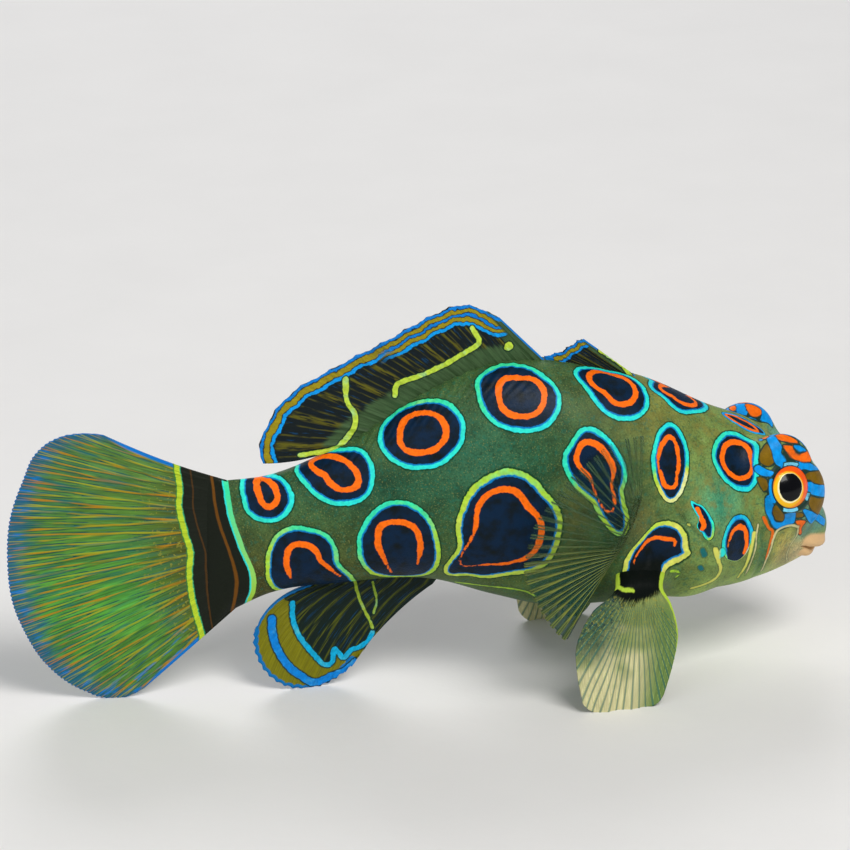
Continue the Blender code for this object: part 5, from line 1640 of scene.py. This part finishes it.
def make_pelvic_fin(name, side, finish):
    """The pelvic fin: a thick arm from the flank that widens to a fan standing on the floor.

    The fin's rays are straight lines that spread from a point at the arm's end.
    """
    along, across = fan_grid(PELVIC_GRID, PELVIC_BUNDLES)
    centre, half, out, height, thick = [even_curve(along, PELVIC[:, column]) for column in range(5)]
    place = 2.0 * across - 1.0
    round_end = 1.1 * np.abs(place) ** 5 * share(along, 0.5, 1.0)
    s = centre + half * place
    z = height + round_end
    turn = np.degrees(np.arctan2(s - PELVIC_FAN[0], np.maximum(PELVIC_FAN[1] - z, 0.3)))
    fan_share = np.interp(turn, *np.transpose(PELVIC_FAN_TURNS))
    ray = ray_height(fan_share, along, PELVIC_RAYS)
    root = flank_place(s[0], z[0])[:, 1]
    out = out + (root - 1.2 - out[0]) * np.clip(1.0 - along / PELVIC_ROOT_SHARE, 0.0, 1.0)
    ripple = 0.10 * np.sin(across * 20.0) * share(along, 0.5, 0.9)
    middle = np.stack([s, (out + ripple) * side, z], -1)
    arm = np.clip(1.0 - along / PELVIC_ARM_SHARE, 0.0, 1.0)
    edge = arm * np.sqrt(1.0 - 0.98 * place**2) + (1.0 - arm) * (1.0 - 0.6 * place**4)
    fan = 1.0 - share(along, 0.3, 0.6) * 0.62
    full = 2.0 * thick * edge * fan + 0.26 * (ray - 0.5) * share(along, 0.35, 0.55) * (1.0 - 0.5 * along)
    front = across * half * 2.0
    arm_end = (along - 0.40 - 0.05 * np.cos(place * 2.5)) * 9.0
    strip = 0.10 + 0.26 * (1.0 - share(along, 0.36, 0.54))
    corner = flat_distance(s, z, smooth_line(PELVIC_CORNER))
    rear_edge = (1.0 - across) * half * 2.0 - 0.26 + 2.0 * share(along, 0.30, 0.40)
    border = np.minimum(np.minimum(front - strip * share(0.8 - along, 0.0, 0.15), corner - 0.10), rear_edge)
    fin = make_fin(name, middle, sheet_side(middle), np.maximum(full, 0.12), finish, along, across,
                   values={"ray": ray * share(along, 0.38, 0.5), "rear": across, "along": along,
                           "arm": arm_end, "border": border,
                           "low": (1.0 - along) * 8.0 + 3.0 * (1.0 - across)})


def make_fins():
    """Every fin in its place."""
    make_tail_fin()
    make_back_fin("second_dorsal_fin", DORSAL_ROOT, DORSAL_LENGTH, DORSAL_SLOPE, DORSAL_RAYS,
                  (DORSAL_FRONT_BANDS, DORSAL_REAR_BANDS), DORSAL_LINES, 0.28, 0.22)
    make_back_fin("first_dorsal_fin", SPINY_ROOT, SPINY_LENGTH, SPINY_SLOPE, SPINY_RAYS,
                  (SPINY_BANDS, SPINY_BANDS), SPINY_LINES, 0.02, 0.12)
    make_anal_fin()
    clear, pelvic, wet = clear_finish(), pelvic_finish(), eye_finish()
    for word, side in (("left", 1), ("right", -1)):
        make_eye("eye_" + word, side, wet)
        make_pectoral_fin("pectoral_fin_" + word, side, clear)
        make_pelvic_fin("pelvic_fin_" + word, side, pelvic)


# Floor, light and camera
LOOK_AT = Vector((-0.65, -0.14, 21.5)) * MM
CAMERA_AWAY = 350.0 * MM
CAMERA_TURN = math.radians(15.0)
CAMERA_RISE = math.radians(21.0)
PHOTO_PX = 850
PX_PER_MM = 13.0
SENSOR = 36.0
FLOOR_HALF = 3.0


def make_camera():
    """A long lens at the photo's angle: it sees one photo width of the fish's own size at its aim."""
    level = math.cos(CAMERA_RISE)
    ahead = Vector((math.sin(CAMERA_TURN) * level, math.cos(CAMERA_TURN) * level, -math.sin(CAMERA_RISE)))
    right = Vector((math.cos(CAMERA_TURN), -math.sin(CAMERA_TURN), 0.0))
    up = right.cross(ahead)
    lens = bpy.data.cameras.new("photo_view")
    lens.sensor_width = SENSOR
    lens.lens = SENSOR * (CAMERA_AWAY / MM) * PX_PER_MM / PHOTO_PX
    lens.clip_start = 0.01
    lens.clip_end = 10.0
    camera = bpy.data.objects.new("photo_view", lens)
    turn = Matrix((right, up, -ahead)).transposed().to_4x4()
    camera.matrix_world = Matrix.Translation(LOOK_AT - ahead * CAMERA_AWAY) @ turn
    bpy.context.scene.collection.objects.link(camera)
    bpy.context.scene.camera = camera


def make_light(name, place, size, power, colour=(1.0, 1.0, 1.0)):
    """A soft square light that looks at the fish."""
    data = bpy.data.lights.new(name, "AREA")
    data.shape = "SQUARE"
    data.size = size
    data.energy = power
    data.color = colour
    lamp = bpy.data.objects.new(name, data)
    lamp.location = place
    lamp.rotation_euler = (LOOK_AT - Vector(place)).to_track_quat("-Z", "Y").to_euler()
    bpy.context.scene.collection.objects.link(lamp)


def make_studio():
    """A pale floor, even grey air and soft lights from above."""
    f = Finish("pale_floor", roughness=0.7)
    tone = f.times((0.80, 0.79, 0.78), f.scaled(f.noise(12.0, 3.0), 0.06, 0.96))
    f.bump(f.noise(1.5, 3.0), 0.03)
    f.done(tone)
    mesh = bpy.data.meshes.new("floor")
    corners = [(FLOOR_HALF * x, FLOOR_HALF * y, 0.0) for x, y in ((-1, -1), (1, -1), (1, 1), (-1, 1))]
    mesh.from_pydata(corners, [], [(0, 1, 2, 3)])
    floor = bpy.data.objects.new("floor", mesh)
    mesh.materials.append(f.material)
    bpy.context.scene.collection.objects.link(floor)
    air = bpy.data.worlds.new("studio")
    air.use_nodes = True
    air.node_tree.nodes["Background"].inputs["Color"].default_value = (0.93, 0.95, 1.0, 1.0)
    air.node_tree.nodes["Background"].inputs["Strength"].default_value = 0.26
    bpy.context.scene.world = air
    make_light("key", (0.10, -0.30, 0.42), 0.22, 1.9, (1.0, 0.98, 0.94))
    make_light("fill", (-0.40, -0.35, 0.22), 0.35, 0.8, (0.92, 0.96, 1.0))
    make_light("back", (0.05, 0.45, 0.35), 0.30, 1.1)
    bpy.context.scene.view_settings.view_transform = "Standard"


make_camera()
make_studio()
make_skin()
make_fins()
